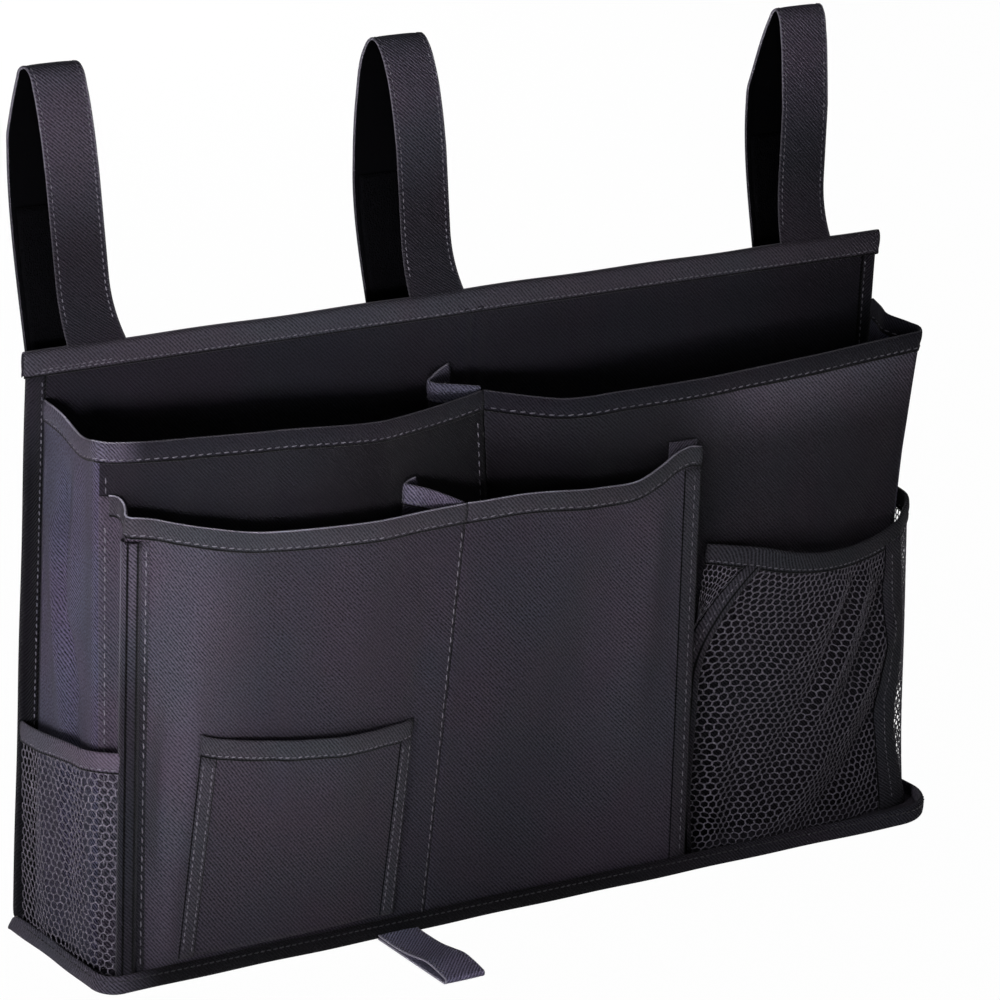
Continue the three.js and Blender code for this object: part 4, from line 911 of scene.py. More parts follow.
left_corner = front_left.share(FRONT_CORNER)
left_tape = (left_corner - CORNER_TAPE_BEFORE, left_corner + CORNER_TAPE / front_left.length)
right_tape = (1 - RIGHT_EDGE_TAPE / front_right.length, 0.998)
# Painted light and shade: a lit patch at the left of the front pockets, darker to its right, and lighter
# again on the right.
front_painted_light = [("X", -0.25, -0.19, 0.6), ("X", -0.04, 0.1, 1.9)]
front_twill = twill("front_twill", (16, 15, 18), (78, 74, 83), (57, 51, 60), painted_light=front_painted_light)
hem_twill = twill("hem_twill", (20, 20, 22), (66, 65, 69), (46, 44, 49), HEM_BANDS)
for cloth, name, first in (
    (front_left, "left", front_left.share(FRONT_HEM_START)),
    (front_right, "right", 0.0),
):
    pocket = hang_cloth(f"front_pocket_{name}_twill", cloth)
    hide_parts(f"front_pocket_{name}")
    dress(pocket, front_twill)
    edge = hem_cloth(f"front_hem_{name}_tape", cloth, (first, 1.0))
    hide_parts(f"front_hem_{name}")
    dress(edge, hem_twill)
    rows = hem_rows(cloth, (first, 1.0))
    if name == "left":
        tape = strip_cloth(
            "front_left_tape_strip", cloth, left_tape, (0.046, 0.998), height=4.6, base=0.9, roll=CORNER_ROLL
        )
        width = cloth.length * (left_tape[1] - left_tape[0])
        # The rolled tape: dark lines of painted shade at the roll's edge and the tape's edge, a painted
        # highlight on the crest, and painted shade towards the foot.
        roll_bands = [
            ("X", CORNER_ROLL * width, 1.0, GROOVE_SHADE),
            ("X", width, 1.2, GROOVE_SHADE),
            ("X", 0.3 * width, 1.2, ROLL_CREST_HIGHLIGHT),
        ]
        roll_painted_shade = [("Z", 0.26, 0.16, 0.34)]
        roll_tones = (21, 21, 24), (76, 74, 82), (53, 51, 58)
        dress(tape, twill("roll_twill", *roll_tones, roll_bands, roll_painted_shade))
        tape_seam = left_tape[1] - CORNER_SEAM_IN
        rows.append(face_row(cloth, (tape_seam, 0.05), (tape_seam, 0.99), lift=1.9))
        rows.append(face_row(cloth, (FRONT_SEAM, 0.05), (FRONT_SEAM, 0.995)))
        rows.append(face_row(cloth, (PLEAT_SEAM, 0.05), (PLEAT_SEAM, 0.99)))
    else:
        tape = strip_cloth("front_right_tape_strip", cloth, right_tape, (0.048, 0.998), height=1.7)
        tape_seam = right_tape[0] + RIGHT_SEAM_IN
        rows.append(face_row(cloth, (tape_seam, 0.05), (tape_seam, 0.99), lift=2.0))
    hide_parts(f"front_{name}_tape")
    seams = sew(f"front_pocket_{name}_stitches", rows, pitch=HEM_PITCH)

# Front divider and right gusset: folded twill behind the front pockets' seam and behind their right edge.
# They let the front pockets open out from the main pockets.
FRONT_DIVIDER_STATIONS = [
    (-59.3, -89.2, 258, -81.3, -97.2),
    (-68, -86.5, 262, -90, -94),
    (-80, -82.5, 267, -102, -90.5),
    (-90, -78.8, 269.8, -112, -88),
    (-92, -76.5, 270, -113.5, -86),
    (-89, -72.5, 270, -104, -82),
    (-80, -67.4, 270, -82, -78.6),
]
fold, trim = divider("front_divider", FRONT_DIVIDER_STATIONS)
GUSSET_CLOTH = 0.5
RIGHT_GUSSET_STATIONS = [
    (115.4, -76.6, 269, 108, -97.4),
    (106, -76.9, 269.4, 99, -97.4),
    (98, -76.9, 269.4, 90.5, -96.8),
    (95.8, -76, 269.3, 88, -92),
    (96.4, -75.4, 269.2, 87.6, -84),
    (99, -75.1, 269, 90, -75.6),
    (107, -75, 269, 99, -74.4),
    (115.4, -75, 268.6, 108, -74.4),
]
gusset = hang_cloth("front_right_gusset_twill", Cloth(RIGHT_GUSSET_STATIONS), thickness=GUSSET_CLOTH)
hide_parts("front_right_gusset")
dress(gusset, panel_twill)

# Patch pocket: a small pocket of twill sewn on the left front pocket by a tape down each side.
# Its bound mouth stands a little away from the cloth behind it.
PATCH_TOP = [
    (-242.6, 150), (-236, 147.4), (-222, 144.5), (-196, 140.6), (-170, 137.6), (-144, 135.1), (-115, 133),
    (-101, 132.3), (-94.6, 132),
]
PATCH_FOOT_LEFT, PATCH_FOOT_RIGHT, PATCH_FOOT = -252.0, -104.0, 12.5
PATCH_STAND, PATCH_BULGE = 2.4, 9.0
FOOT_STAND, FOOT_BULGE = 1.3, 2.2
patch_stations = []
for x, z in PATCH_TOP:
    t = (x - PATCH_TOP[0][0]) / (PATCH_TOP[-1][0] - PATCH_TOP[0][0])
    foot_x = PATCH_FOOT_LEFT + t * (PATCH_FOOT_RIGHT - PATCH_FOOT_LEFT)
    arch = math.sin(math.pi * t)
    stand = PATCH_STAND + PATCH_BULGE * arch ** 0.8
    foot_y = front_left.depth(foot_x, PATCH_FOOT) - FOOT_STAND - FOOT_BULGE * arch
    patch_stations.append((x, front_left.depth(x, z) - stand, z, foot_x, foot_y))
PATCH_SIZE = np.array([148.0, 128.0])
PATCH_TAPE, PATCH_TAPE_ROWS = 11.0, (0.2, 0.78)
patch = Cloth(patch_stations, PATCH_SIZE, [
    ((0.3, 0.02), (0.34, 0.3), 5, -1.2),
    ((0.38, 0.08), (0.36, 0.35), 5, 1.2),
    ((0.62, 0.05), (0.6, 0.4), 8, 1.3),
    ((0.84, 0.1), (0.78, 0.55), 7, -1.0),
], foot=PATCH_FOOT)
pocket = hang_cloth("patch_pocket_twill", patch, pitch=(2.4, 3.0))
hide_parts("patch_pocket")
patch_twill = twill("patch_twill", (13, 12, 15), (66, 62, 69), (47, 42, 50))
dress(pocket, patch_twill)
edge = hem_cloth("patch_hem_tape", patch)
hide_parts("patch_hem")
patch_hem_twill = twill("patch_hem_twill", (20, 20, 22), (66, 65, 69), (46, 44, 49), SHADED_EDGE_BANDS)
dress(edge, patch_hem_twill)
rows = hem_rows(patch)
tape_share = PATCH_TAPE / patch.length
trim = [edge]
for name, start in (("left", 0.0), ("right", 1 - tape_share)):
    along = (start, start + tape_share)
    tape = strip_cloth(f"patch_{name}_tape_strip", patch, along, (0.085, 1.0), height=1.5)
    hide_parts(f"patch_{name}_tape")
    trim.append(tape)
    for share in PATCH_TAPE_ROWS:
        s = start + share * tape_share
        rows.append(face_row(patch, (s, 0.1), (s, 0.985), lift=1.7))
trim.append(sew("patch_pocket_stitches", rows))

# Left net: knotless knitted net with six-sided openings, on the side of the bag.
# Its mouth is bound with a doubled tape, and its edges are caught in the bindings.
NET_THREAD = 0.72
NET_THICKNESS = 0.55
NET_TONES = ((58, 55, 61), (112, 108, 116))
NET_GLOSS = {"Roughness": 0.6, "Specular IOR Level": 0.1}
net_finish = speckled("net_thread", 900, 3, NET_TONES, (0.3, 0.7), (0.5, 0.0004), NET_GLOSS)


def hang_net(name, cloth, cell, along=WHOLE, down=WHOLE):
    """Rows of six-sided meshes cut to a flat piece and then hung on a cloth's surface."""
    width = cloth.length * (along[1] - along[0])
    height = cloth.drop(np.array([sum(along) / 2]))[0] * (down[1] - down[0])
    radius = cell / math.sqrt(3)
    bpy.ops.object.select_all(action="DESELECT")
    bpy.ops.mesh.primitive_circle_add(vertices=6, radius=radius, fill_type="NGON", location=(0, 0, 0))
    piece = bpy.context.object
    piece.name = piece.data.name = name
    bpy.ops.object.mode_set(mode="EDIT")
    bpy.ops.mesh.select_all(action="SELECT")
    bpy.ops.mesh.duplicate()
    bpy.ops.transform.translate(value=(cell / 2, 1.5 * radius, 0))
    bpy.ops.object.mode_set(mode="OBJECT")
    for count, offset in ((width / cell, (cell, 0, 0)), (height / (3 * radius), (0, 3 * radius, 0))):
        array = piece.modifiers.new("rows", "ARRAY")
        array.count = math.ceil(count) + 1
        array.use_relative_offset = False
        array.use_constant_offset = True
        array.constant_offset_displace = offset
        bpy.ops.object.modifier_apply(modifier=array.name)
    bpy.ops.object.mode_set(mode="EDIT")
    bpy.ops.mesh.select_all(action="SELECT")
    bpy.ops.mesh.remove_doubles(threshold=0.01)
    bpy.ops.mesh.inset(thickness=NET_THREAD / 2, use_individual=True)
    bpy.ops.mesh.delete(type="FACE")
    near, far = (0, 0, 0), (width, height, 0)
    for spot, away in ((near, (-1, 0, 0)), (near, (0, -1, 0)), (far, (1, 0, 0)), (far, (0, 1, 0))):
        bpy.ops.mesh.select_all(action="SELECT")
        bpy.ops.mesh.bisect(plane_co=spot, plane_no=away, clear_outer=True)
    bpy.ops.object.mode_set(mode="OBJECT")
    mesh = piece.data
    flat = np.empty(3 * len(mesh.vertices))
    mesh.vertices.foreach_get("co", flat)
    flat = flat.reshape(-1, 3)
    x, y = flat[:, 0], flat[:, 1]
    slack = 1.1 * np.sin(0.11 * y + 0.05 * x) + 0.6 * np.sin(0.31 * y - 0.17 * x)
    s = along[0] + (along[1] - along[0]) * np.clip((x + slack) / width, 0, 1)
    slack = 1.0 * np.sin(0.09 * x + 0.04 * y + 1) + 0.5 * np.sin(0.27 * x + 0.2 * y)
    v = down[1] - (down[1] - down[0]) * np.clip((y + slack) / height, 0, 1)
    mesh.vertices.foreach_set("co", metres(cloth.at(s, v)).ravel())
    mesh.update()
    thicken(piece, NET_THICKNESS)
    bpy.ops.object.shade_smooth()
    return piece, (width * 0.001, height * 0.001)


LEFT_NET_CELL = 5.0
LEFT_NET_STATIONS = [
    (-302.3, -3.5, 133, -299, -3.5),
    (-304, -16, 134.5, -299.2, -16),
    (-306, -34, 137.6, -299.3, -34),
    (-306.6, -52, 140.4, -299.3, -52),
    (-306.4, -70, 142.3, -299.2, -66),
    (-305.4, -80, 143.4, -298.6, -76),
    (-302.6, -88.5, 144.6, -296.4, -84),
    (-297, -95, 145, -293, -91),
    (-291.4, -99, 145, -288.4, -97),
]
LEFT_NET_SIZE = np.array([104.0, 137.0])
left_net = Cloth(LEFT_NET_STATIONS, LEFT_NET_SIZE, [
    ((0.3, 0.1), (0.36, 0.95), 9, 2.2),
    ((0.62, 0.05), (0.56, 0.9), 9, -2.4),
    ((0.8, 0.2), (0.82, 0.9), 6, 1.6),
])
net_twill = twill("net_hem_twill", (34, 32, 37), (90, 85, 94), (76, 69, 79), SHADED_EDGE_BANDS)
net, net_size = hang_net("left_net_mesh", left_net, LEFT_NET_CELL, down=(0.07, 0.998))
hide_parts("left_net")
dress(net, net_finish)
edge = hem_cloth("left_net_hem_tape", left_net)
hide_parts("left_net_hem")
dress(edge, net_twill)
seams = sew("left_net_stitches", hem_rows(left_net))

# Right net: the same net in three widths under one bound mouth, made slack to hold a bottle.
# Tapes run down its two corners, and its sides go back to the main pocket and the panel's edge.
RIGHT_NET_STATIONS = [
    (128, -76.2, 199, 113, -75.8),
    (143, -84.5, 198.3, 112.4, -88),
    (155, -88.3, 196.8, 112, -97),
    (160, -89.5, 196, 114, -99),
    (180, -92.5, 191, 138, -99.5),
    (201, -92.5, 187.2, 168, -99.2),
    (222, -89, 185.4, 200, -97),
    (241, -83.6, 185, 230, -93.6),
    (262, -77, 186.6, 262, -89),
    (272.5, -73.2, 188.4, 283, -86.4),
    (280, -69.8, 190, 291, -83.8),
    (287, -64, 191.8, 295.5, -77),
    (301, -51, 195.4, 300, -66),
    (305, -34, 197, 299, -42),
    (307, -18, 196.6, 299, -20),
    (303, -3.5, 195, 299.2, -3.5),
]
NET_LEFT_CORNER, NET_SLACK_END, NET_RIGHT_CORNER = 3, 6, 10
NET_CORNER_REACH, NET_CORNER_DROP, NET_CORNER_BACK = 110.0, 0.42, 16.0
NET_WAIST, NET_WAIST_PLACE, NET_WAIST_SPAN = 8.5, 0.72, 0.2
RIGHT_NET_CELL = 4.2
RIGHT_NET_SIZE = np.array([300.0, 186.0])


def drawn_corner(s, v):
    """The left corner is drawn in by the front pockets below the mouth, and the right one near the foot."""
    near, far = right_net.share(NET_LEFT_CORNER), right_net.share(NET_SLACK_END)
    top, foot = right_net.upper[NET_LEFT_CORNER, 0], right_net.lower[NET_LEFT_CORNER, 0]
    upper_part = np.clip(1 - v / NET_CORNER_DROP, 0, 1) ** 1.7
    drawn = NET_CORNER_REACH + (top - NET_CORNER_REACH) * upper_part
    pull = np.where(s < near, s / near, np.clip((far - s) / (far - near), 0, 1) ** 1.5)
    shift = np.minimum(drawn - (top + (foot - top) * v), 0) * pull
    past = s - right_net.share(NET_RIGHT_CORNER)
    beside = np.exp(-((past / np.where(past < 0, 0.1, 0.05)) ** 2))
    shift -= NET_WAIST * np.exp(-(((v - NET_WAIST_PLACE) / NET_WAIST_SPAN) ** 2)) * beside
    back = NET_CORNER_BACK * pull * (1 - upper_part)
    return np.stack([shift, back * (1 - 0.4 * np.clip(v * 5 - 4, 0, 1)), 0 * s], 1)


right_net = Cloth(RIGHT_NET_STATIONS, RIGHT_NET_SIZE, [
    ((0.42, 0.14), (0.24, 0.5), 8, 4.5),
    ((0.48, 0.14), (0.3, 0.75), 7, -4.5),
    ((0.53, 0.14), (0.38, 0.6), 7, 5.0),
    ((0.6, 0.2), (0.45, 0.7), 8, -4.5),
    ((0.64, 0.35), (0.3, 0.95), 10, 5.5),
    ((0.63, 0.6), (0.42, 0.97), 9, -4.5),
    ((0.2, 0.5), (0.19, 0.95), 6, 3.4),
    ((0.25, 0.6), (0.23, 0.98), 6, -3.0),
    ((0.83, 0.1), (0.86, 0.9), 8, -3.2),
    ((0.93, 0.1), (0.92, 0.8), 8, 2.4),
], drawn_corner)
left_turn, right_turn = right_net.share(NET_LEFT_CORNER), right_net.share(NET_RIGHT_CORNER)
NET_TAPE = 9.0
WIDE_TAPE, WIDE_TAPE_BEFORE = 2.4, 2.3
net_tape = NET_TAPE / right_net.length
net_widths = {
    "right_net_gusset": (0.0, left_turn),
    "right_net_front": (left_turn, right_turn),
    "right_net_side": (right_turn, 1.0),
}
made = {}
for name, along in net_widths.items():
    made[name] = hang_net(name + "_mesh", right_net, RIGHT_NET_CELL, along, (0.05, 0.998))
    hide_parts(name)
    dress(made[name][0], net_finish)
edge = hem_cloth("right_net_hem_tape", right_net)
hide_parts("right_net_hem")
mouth_twill = twill("right_net_hem_twill", (17, 17, 19), (58, 57, 61), (41, 40, 44), SHADED_EDGE_BANDS)
dress(edge, mouth_twill)
trim = [edge]
rows = hem_rows(right_net)
tapes = {
    "left": (left_turn, net_tape),
    "right": (right_turn - WIDE_TAPE_BEFORE * net_tape, WIDE_TAPE * net_tape),
}
for name, (start, width) in tapes.items():
    tape = strip_cloth(f"right_net_{name}_tape_strip", right_net, (start, start + width), (0.05, 0.998))
    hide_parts(f"right_net_{name}_tape")
    trim.append(tape)
    s = start + 0.4 * width
    rows.append(face_row(right_net, (s, 0.075), (s, 0.985), lift=1.9))
trim.append(sew("right_net_stitches", rows))

# Straps: doubled twill bands, stitched along both edges, that make loops over a bed rail.
# The foot of each is caught in the top binding, and the tail grips a loop patch behind the panel.
STRAP_WIDTH = 34.0
STRAP_FLARE = 8.0
STRAP_CLOTH = 1.5
SEAM_Z = 355.2
TAIL_SEAT, LOOP_TOP_Z, TAIL_END_Z = 7.9, 269.0, 207.0
STRAPS = {
    "left": (-262.0, -21.0, 163.0),
    "middle": (-31.0, -17.0, 155.0),
    "right": (241.0, -3.0, 147.0),
}
CROWN_BENDS = {
    "left": [
        (0, -60), (1.4, -35), (5, -12), (8, -2.5), (11, 0), (17, -0.5), (19.5, -2.5), (22, -8), (32.5, -37),
        (34, -42), (34.5, -55),
    ],
    "middle": [
        (0, -64), (2, -42), (7, -18), (13, -5), (18, -0.5), (21, 0), (24, -1.5), (29, -8), (37, -40),
        (39, -62), (39.3, -84),
    ],
    "right": [
        (0, -60), (2, -40), (5.5, -15), (9, -3), (12, 0), (14.5, -1.5), (17.5, -7), (33, -48), (35, -54),
        (35.5, -66),
    ],
}
EDGE_ROW = 2.6


def strap_line(name):
    """A strap's line from its foot, over the crown, to the end of its tail, with its shift and its flare."""
    x, lean, rise = STRAPS[name]
    crown = SEAM_Z + rise
    bend = eased(CROWN_BENDS[name], 64) + (PANEL_MIDDLE, crown)
    leg = np.linspace(SEAM_Z - 1.5, bend[0, 1], 32)[:-1]
    fall = np.linspace(0, 1, 44)[1:, None]
    ease = fall * fall * (3 - 2 * fall)
    back, seat = bend[-1], np.array([TAIL_SEAT, LOOP_TOP_Z])
    rest = np.linspace(LOOP_TOP_Z, TAIL_END_Z, 16)[1:]
    side = np.concatenate([
        np.stack([np.full_like(leg, PANEL_MIDDLE), leg], 1),
        bend,
        back + (seat - back) * np.concatenate([ease, fall], 1),
        np.stack([np.full_like(rest, TAIL_SEAT), rest], 1),
    ])
    front = np.arange(len(side)) < np.argmax(side[:, 1])
    climb = (side[:, 1] - SEAM_Z) / rise
    down = np.maximum(side[:, 1] - LOOP_TOP_Z, 0) / (crown - LOOP_TOP_Z)
    middle = np.where(front, x + lean * climb, x + lean / 2 + lean / 2 * down)
    flare = np.where(front, np.clip(1 - (side[:, 1] - SEAM_Z) / 40, 0, 1), 0)
    return side, middle, STRAP_FLARE * flare * flare


def strap_spots(name, across, lift):
    """Points of a strap at shares across it, lifted off its middle, and the way out of it."""
    side, middle, flare = strap_line(name)
    ahead = np.gradient(side, axis=0)
    ahead /= np.linalg.norm(ahead, axis=1)[:, None]
    out = np.stack([-ahead[:, 1], ahead[:, 0]], 1)
    left, right = middle - STRAP_WIDTH / 2 + 0.5 * flare, middle + STRAP_WIDTH / 2 + flare
    spots = np.empty((len(across), len(side), 3))
    spots[:, :, 0] = left[None] + (right - left)[None] * across[:, None]
    spots[:, :, 1:] = side[None] + out[None] * lift[:, None, None]
    normal = np.concatenate([np.zeros((len(side), 1)), out], 1)
    return spots, normal


STRAP_ACROSS = np.array([
    0, 0.012, 0.035, 0.06, 0.08, 0.11, 0.2, 0.35, 0.5, 0.65, 0.8, 0.89, 0.92, 0.94, 0.965, 0.988, 1,
])
STRAP_CROWNING = np.array([
    0, 0.25, 0.35, 0.15, 0.05, 0.2, 0.4, 0.5, 0.5, 0.5, 0.4, 0.2, 0.05, 0.15, 0.35, 0.25, 0,
])
CROWN_REACH = 0.02
FOLD_Y = 16.1
FOLD_LEAD, FOLD_TRAIL = 2.9, 5.6
FOLD_RUN, FOLD_DROP = 16, 11.0
# Pale edges of wear and painted highlight. Painted light and shade: the straps lit at the crown and darker
# towards the foot, and the right strap lighter.
STRAP_BANDS = [("X", 0.0, 0.9, PALE_WEAR_AND_HIGHLIGHT), ("X", STRAP_WIDTH, 0.9, PALE_WEAR_AND_HIGHLIGHT)]
strap_painted_light = [("Z", 0.51, 0.4, 0.2), ("X", 0.1, 0.2, 1.5)]
strap_twill = twill("strap_twill", (26, 25, 29), (92, 88, 98), (65, 59, 69), STRAP_BANDS, strap_painted_light)
# Painted shade: a black sheet on the strap's inner faces and under its crown, where deep shade falls.
inner_shade_black, nodes, link, surface_shader = new_finish("strap_inner_shade")
inner_shade_place = nodes.new("ShaderNodeTexCoord")
inner_shade_weave = nodes.new("ShaderNodeTexChecker")
inner_shade_weave.inputs["Scale"].default_value = 1400
inner_shade_weave.inputs["Color1"].default_value = srgb(4, 4, 5)
inner_shade_weave.inputs["Color2"].default_value = srgb(9, 9, 10)
inner_shade_bump = nodes.new("ShaderNodeBump")
inner_shade_bump.inputs["Strength"].default_value = 0.4
inner_shade_bump.inputs["Distance"].default_value = 0.0003
link(inner_shade_place.outputs["UV"], inner_shade_weave.inputs["Vector"])
link(inner_shade_weave.outputs["Color"], surface_shader.inputs["Base Color"])
link(inner_shade_weave.outputs["Fac"], inner_shade_bump.inputs["Height"])
link(inner_shade_bump.outputs["Normal"], surface_shader.inputs["Normal"])
surface_shader.inputs["Roughness"].default_value = 0.9
surface_shader.inputs["Specular IOR Level"].default_value = 0.0
for name, (x, lean, rise) in STRAPS.items():
    spots, out = strap_spots(name, STRAP_ACROSS, STRAP_CROWNING)
    strap = surface(f"{name}_strap_band", spots, STRAP_CLOTH)
    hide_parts(f"{name}_strap_leg", f"{name}_strap_tail")
    dress(strap, strap_twill, None)
    strap.data.materials.append(inner_shade_black)
    crown = metres(spots[0, np.argmax(spots[0, :, 2])])
    # The inner faces and the underside of the crown take the black of the painted shade.
    for polygon in strap.data.polygons:
        inward = polygon.normal.y if polygon.center.y < crown[1] else -polygon.normal.y
        under = polygon.normal.z < -0.6 and polygon.center.z > crown[2] - CROWN_REACH
        on_face = abs(polygon.normal.x) < 0.7
        polygon.material_index = int(on_face and (inward > 0.3 or under))
    rows = []
    for share in (EDGE_ROW / STRAP_WIDTH, 1 - EDGE_ROW / STRAP_WIDTH):
        lines, _ = strap_spots(name, np.array([share]), np.array([STRAP_CLOTH / 2 + STITCH_LIFT]))
        rows.append((lines[0][ROW_MARGIN:], out[ROW_MARGIN:]))
    seams = sew(f"{name}_strap_stitches", rows, None)
    fold = np.array([x + lean, FOLD_Y, SEAM_Z + rise])
    rearward = np.array([0, rise + FOLD_RUN, -FOLD_DROP]) / math.hypot(rise + FOLD_RUN, FOLD_DROP)
    start, end = metres(fold - FOLD_LEAD * rearward), metres(fold + FOLD_TRAIL * rearward)
    for piece in (strap, seams):
        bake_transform(piece)

# Hook tapes and loop patches: black hook tape along the inner face of each strap's tail.
# It grips a patch of loop pile that is sewn to the rear cloth of the panel.
HOOK_DROP = 84.0
HOOK_TAPE, HOOK_GAP = 0.8, 0.15
HOOK_MARGIN = 3 / STRAP_WIDTH
HOOK_ACROSS = np.linspace(HOOK_MARGIN, 1 - HOOK_MARGIN, 9)
LOOP_WIDTH, LOOP_PILE, LOOP_BACKING = 30.0, 0.72, 0.5
LOOP_SEAT, LOOP_ROW_LIFT, LOOP_ROW_MARGIN = 0.55, 1.45, 1.6
LOOP_CORNERS = np.array([(-1, -1), (1, -1), (1, 1), (-1, 1)])
hook_black, nodes, link, surface_shader = new_finish("hook_and_loop_black")
hook_place = nodes.new("ShaderNodeTexCoord")
hook_dots = nodes.new("ShaderNodeTexVoronoi")
hook_dots.inputs["Scale"].default_value = 900
hook_ramp = nodes.new("ShaderNodeValToRGB")
hook_ramp.color_ramp.elements[0].color = srgb(12, 12, 13)
hook_ramp.color_ramp.elements[1].color = srgb(4, 4, 5)
hook_bump = nodes.new("ShaderNodeBump")
hook_bump.inputs["Strength"].default_value = 0.8
hook_bump.inputs["Distance"].default_value = 0.0006
hook_bump.invert = True
link(hook_place.outputs["Object"], hook_dots.inputs["Vector"])
link(hook_dots.outputs["Distance"], hook_ramp.inputs["Fac"])
link(hook_ramp.outputs["Color"], surface_shader.inputs["Base Color"])
link(hook_dots.outputs["Distance"], hook_bump.inputs["Height"])
link(hook_bump.outputs["Normal"], surface_shader.inputs["Normal"])
surface_shader.inputs["Roughness"].default_value = 0.95
surface_shader.inputs["Specular IOR Level"].default_value = 0.0
LOOP_TONES = ((12, 12, 14), (44, 43, 47))
LOOP_GLOSS = {"Roughness": 0.95, "Sheen Weight": 0.3}
loop_black = speckled("loop_pile_black", 1500, 4, LOOP_TONES, (0.35, 0.75), (0.9, 0.0008), LOOP_GLOSS)
for name, (x, lean, rise) in STRAPS.items():
    lift = np.full(len(HOOK_ACROSS), -STRAP_CLOTH / 2 - HOOK_GAP - HOOK_TAPE / 2)
    spots, _ = strap_spots(name, HOOK_ACROSS, lift)
    top = np.argmax(spots[0, :, 2])
    start = top + np.argmax(spots[0, top:, 2] < SEAM_Z + rise - HOOK_DROP)
    hook = surface(f"{name}_hook_tape_strip", spots[:, start:-1], HOOK_TAPE)
    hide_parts(f"{name}_hook_tape")
    dress(hook, hook_black, f"{name}_tail")
    patch_x, patch_z = x + lean / 2, (LOOP_TOP_Z + TAIL_END_Z) / 2
    half_width, half_height = LOOP_WIDTH / 2, (LOOP_TOP_Z - TAIL_END_Z) / 2
    across, up = np.meshgrid(np.linspace(1, -1, 25), np.linspace(-1, 1, 41), indexing="ij")
    rounding = np.maximum(np.abs(across) ** 8, np.abs(up) ** 16)
    pile = np.stack([
        patch_x + across * half_width,
        PANEL_STACK + LOOP_SEAT + LOOP_PILE * (1 - rounding),
        patch_z + up * half_height,
    ], 2)
    patch_pad = surface(f"{name}_loop_patch_pile", pile, LOOP_BACKING)
    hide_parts(f"{name}_loop_patch")
    dress(patch_pad, loop_black)
    rows = []
    for start, end in zip(LOOP_CORNERS, np.roll(LOOP_CORNERS, -1, axis=0)):
        spot = start + (end - start) * np.linspace(0, 1, 30)[:, None]
        line = np.stack([
            patch_x + spot[:, 0] * (half_width - LOOP_ROW_MARGIN),
            np.full(len(spot), PANEL_STACK + LOOP_ROW_LIFT),
            patch_z + spot[:, 1] * (half_height - LOOP_ROW_MARGIN),
        ], 1)
        rows.append((line, np.broadcast_to(-FORWARD, line.shape)))
    sew(f"{name}_loop_patch_stitches", rows)

# Pull tab: a folded length of the twill band under the front edge of the base, stitched along both edges.
# It lies forward on the floor, and its two layers part a little towards the fold.
TAB_X, TAB_WIDTH, TAB_ROOT, TAB_LENGTH = -104.0, 27.0, -107.6, 74.0
TAB_CLOTH, TAB_SEAT, TAB_NOSE = 1.0, 0.55, 2.6
TAB_RISE = [(0.0, 3.6), (9.0, 5.2), (20.0, 6.2), (31.0, 4.6), (43.0, 2.8), (58.0, 2.2), (72.3, 2.4)]
# The tab's folded edges are pale, partly wear and partly painted highlight.
tab_bands = [("X", 0.0, 1.0, FOLD_WEAR_AND_HIGHLIGHT), ("X", TAB_WIDTH, 1.0, FOLD_WEAR_AND_HIGHLIGHT)]
tab_twill = twill("tab_twill", (24, 23, 31), (150, 145, 168), (88, 83, 100), tab_bands)
turn = np.linspace(-math.pi / 2, math.pi / 2, 11)[1:-1]
tip = TAB_ROOT - TAB_LENGTH + TAB_NOSE
fold_radius = (TAB_RISE[0][1] - TAB_SEAT) / 2
upper = eased(TAB_RISE, 36)
tab_line = np.concatenate([
    np.linspace((TAB_ROOT, TAB_SEAT), (tip, TAB_SEAT), 30),
    np.stack([tip - fold_radius * np.cos(turn), TAB_SEAT + fold_radius * (1 + np.sin(turn))], 1),
    upper + (tip, 0),
])
row_start = len(tab_line) - len(upper) + 1
ahead = np.gradient(tab_line, axis=0)
ahead /= np.linalg.norm(ahead, axis=1)[:, None]
tab_out = np.stack([ahead[:, 1], -ahead[:, 0]], 1)


def tab_spots(across, lift):
    """Points of the tab at shares across it, lifted off its middle."""
    spots = np.empty((len(across), len(tab_line), 3))
    spots[:, :, 0] = TAB_X + TAB_WIDTH * (across[:, None] - 0.5)
    spots[:, :, 1:] = tab_line[None] - tab_out[None] * lift[:, None, None]
    return spots


tab = surface("pull_tab_band", tab_spots(STRAP_ACROSS, 0.4 * STRAP_CROWNING)[::-1], TAB_CLOTH)
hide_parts("pull_tab")
dress(tab, tab_twill, "tab")
rows = []
for share in (EDGE_ROW / TAB_WIDTH, 1 - EDGE_ROW / TAB_WIDTH):
    line = tab_spots(np.array([share]), np.array([TAB_CLOTH / 2 + STITCH_LIFT]))[0]
    rows.append((line[row_start:], np.column_stack([np.zeros(len(line)), -tab_out])[row_start:]))
seams = sew("pull_tab_stitches", rows, "tab")

# Studio: a wide pale floor, soft disc lamps at the left, in front and behind, and a long lens.
# The floor and the air are white to the camera, and the floor keeps the shadow.
FLOOR_SIZE, FLOOR_DROP = 14.0, -0.0006
FLOOR_WHITE, AIR_WHITE = 0.985, 1.0


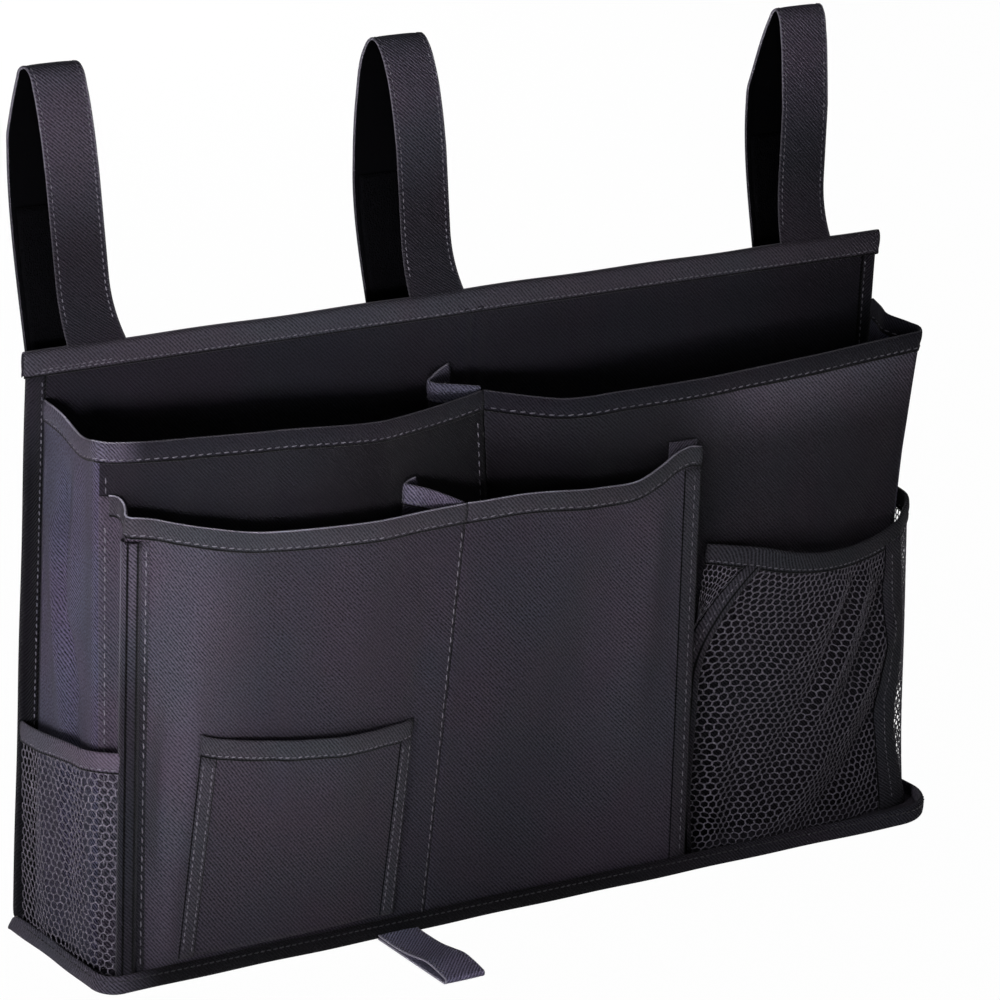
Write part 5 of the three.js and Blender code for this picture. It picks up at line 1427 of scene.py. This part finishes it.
def white_to_lens(nodes, link, lit, white, share):
    """A share of white for the camera, for gloss and through glass, over the shader that takes the light."""
    rays = nodes.new("ShaderNodeLightPath")
    seen = rays.outputs["Is Camera Ray"]
    for kind in ("Is Glossy Ray", "Is Transmission Ray"):
        either = nodes.new("ShaderNodeMath")
        either.operation = "MAXIMUM"
        link(seen, either.inputs[0])
        link(rays.outputs[kind], either.inputs[1])
        seen = either.outputs[0]
    shown = nodes.new("ShaderNodeMath")
    shown.operation = "MULTIPLY"
    shown.inputs[1].default_value = share
    link(seen, shown.inputs[0])
    both = nodes.new("ShaderNodeMixShader")
    link(shown.outputs[0], both.inputs["Fac"])
    link(lit, both.inputs[1])
    link(white, both.inputs[2])
    return both.outputs["Shader"]


bpy.ops.object.select_all(action="DESELECT")
bpy.ops.mesh.primitive_plane_add(size=FLOOR_SIZE, location=(0, 0, FLOOR_DROP))
floor = bpy.context.object
floor.name = "studio_floor"
white_floor, nodes, link, surface_shader = new_finish("studio_white")
surface_shader.inputs["Base Color"].default_value = (0.86, 0.86, 0.87, 1)
surface_shader.inputs["Roughness"].default_value = 0.9
glow = nodes.new("ShaderNodeEmission")
pale = white_to_lens(nodes, link, surface_shader.outputs["BSDF"], glow.outputs["Emission"], FLOOR_WHITE)
link(pale, nodes["Material Output"].inputs["Surface"])
floor.data.materials.append(white_floor)

scene = bpy.context.scene
scene.view_settings.view_transform = "Standard"
world = bpy.data.worlds.new("studio_air")
scene.world = world
world.use_nodes = True
nodes, link = world.node_tree.nodes, world.node_tree.links.new
ambient = nodes["Background"]
ambient.inputs["Color"].default_value = (0.93, 0.95, 1.0, 1)
ambient.inputs["Strength"].default_value = 0.06
backdrop = nodes.new("ShaderNodeBackground")
backdrop.inputs["Color"].default_value = (1, 1, 1, 1)
air = white_to_lens(nodes, link, ambient.outputs["Background"], backdrop.outputs["Background"], AIR_WHITE)
link(air, nodes["World Output"].inputs["Surface"])

MIDDLE = (0.0, 0.0, 0.2)
LAMPS = {
    "side_lamp": ((-1.2, -0.75, 0.38), MIDDLE, 10.0, 0.35, 180, (0.98, 0.97, 1.06)),
    "key_lamp": ((-0.95, -1.15, 0.4), (-0.24, -0.05, 0.26), 0.45, 0.2, 26, (1.0, 0.96, 1.06)),
    "floor_lamp": ((-0.3, -0.85, 0.9), (-0.3, -0.85, 0.0), 10.0, 0.6, 55, (1.0, 0.99, 1.0)),
    "upper_lamp": ((0.5, -1.3, 0.34), (0.18, -0.02, 0.31), 0.032, 0.15, 12, (1.0, 0.97, 1.02)),
    "rear_lamp": ((0.4, 2.2, 0.5), MIDDLE, 24.0, 1.6, 180, (1.0, 1.0, 1.0)),
}
for name, (spot, aim, power, size, spread, colour) in LAMPS.items():
    lamp = bpy.data.objects.new(name, bpy.data.lights.new(name, "AREA"))
    lamp.data.shape = "DISK"
    lamp.data.energy = power
    lamp.data.size = size
    lamp.data.spread = math.radians(spread)
    lamp.data.color = colour
    lamp.location = spot
    lamp.rotation_euler = (Vector(aim) - Vector(spot)).to_track_quat("-Z", "Y").to_euler()
    scene.collection.objects.link(lamp)

CAMERA_SPOT = (-1.7630, -2.5560, 1.3110)
CAMERA_TARGET = (0.0269, 0.0499, 0.2190)
CAMERA_ROLL = 3.03
CAMERA_LENS = 198.76
camera = bpy.data.objects.new("camera", bpy.data.cameras.new("camera"))
camera.data.lens = CAMERA_LENS
camera.data.sensor_width = 36.0
camera.data.clip_end = 50.0
camera.location = CAMERA_SPOT
look = (Vector(CAMERA_TARGET) - Vector(CAMERA_SPOT)).to_track_quat("-Z", "Y")
camera.rotation_mode = "QUATERNION"
camera.rotation_quaternion = look @ Quaternion((0, 0, 1), math.radians(CAMERA_ROLL))
scene.collection.objects.link(camera)
scene.camera = camera
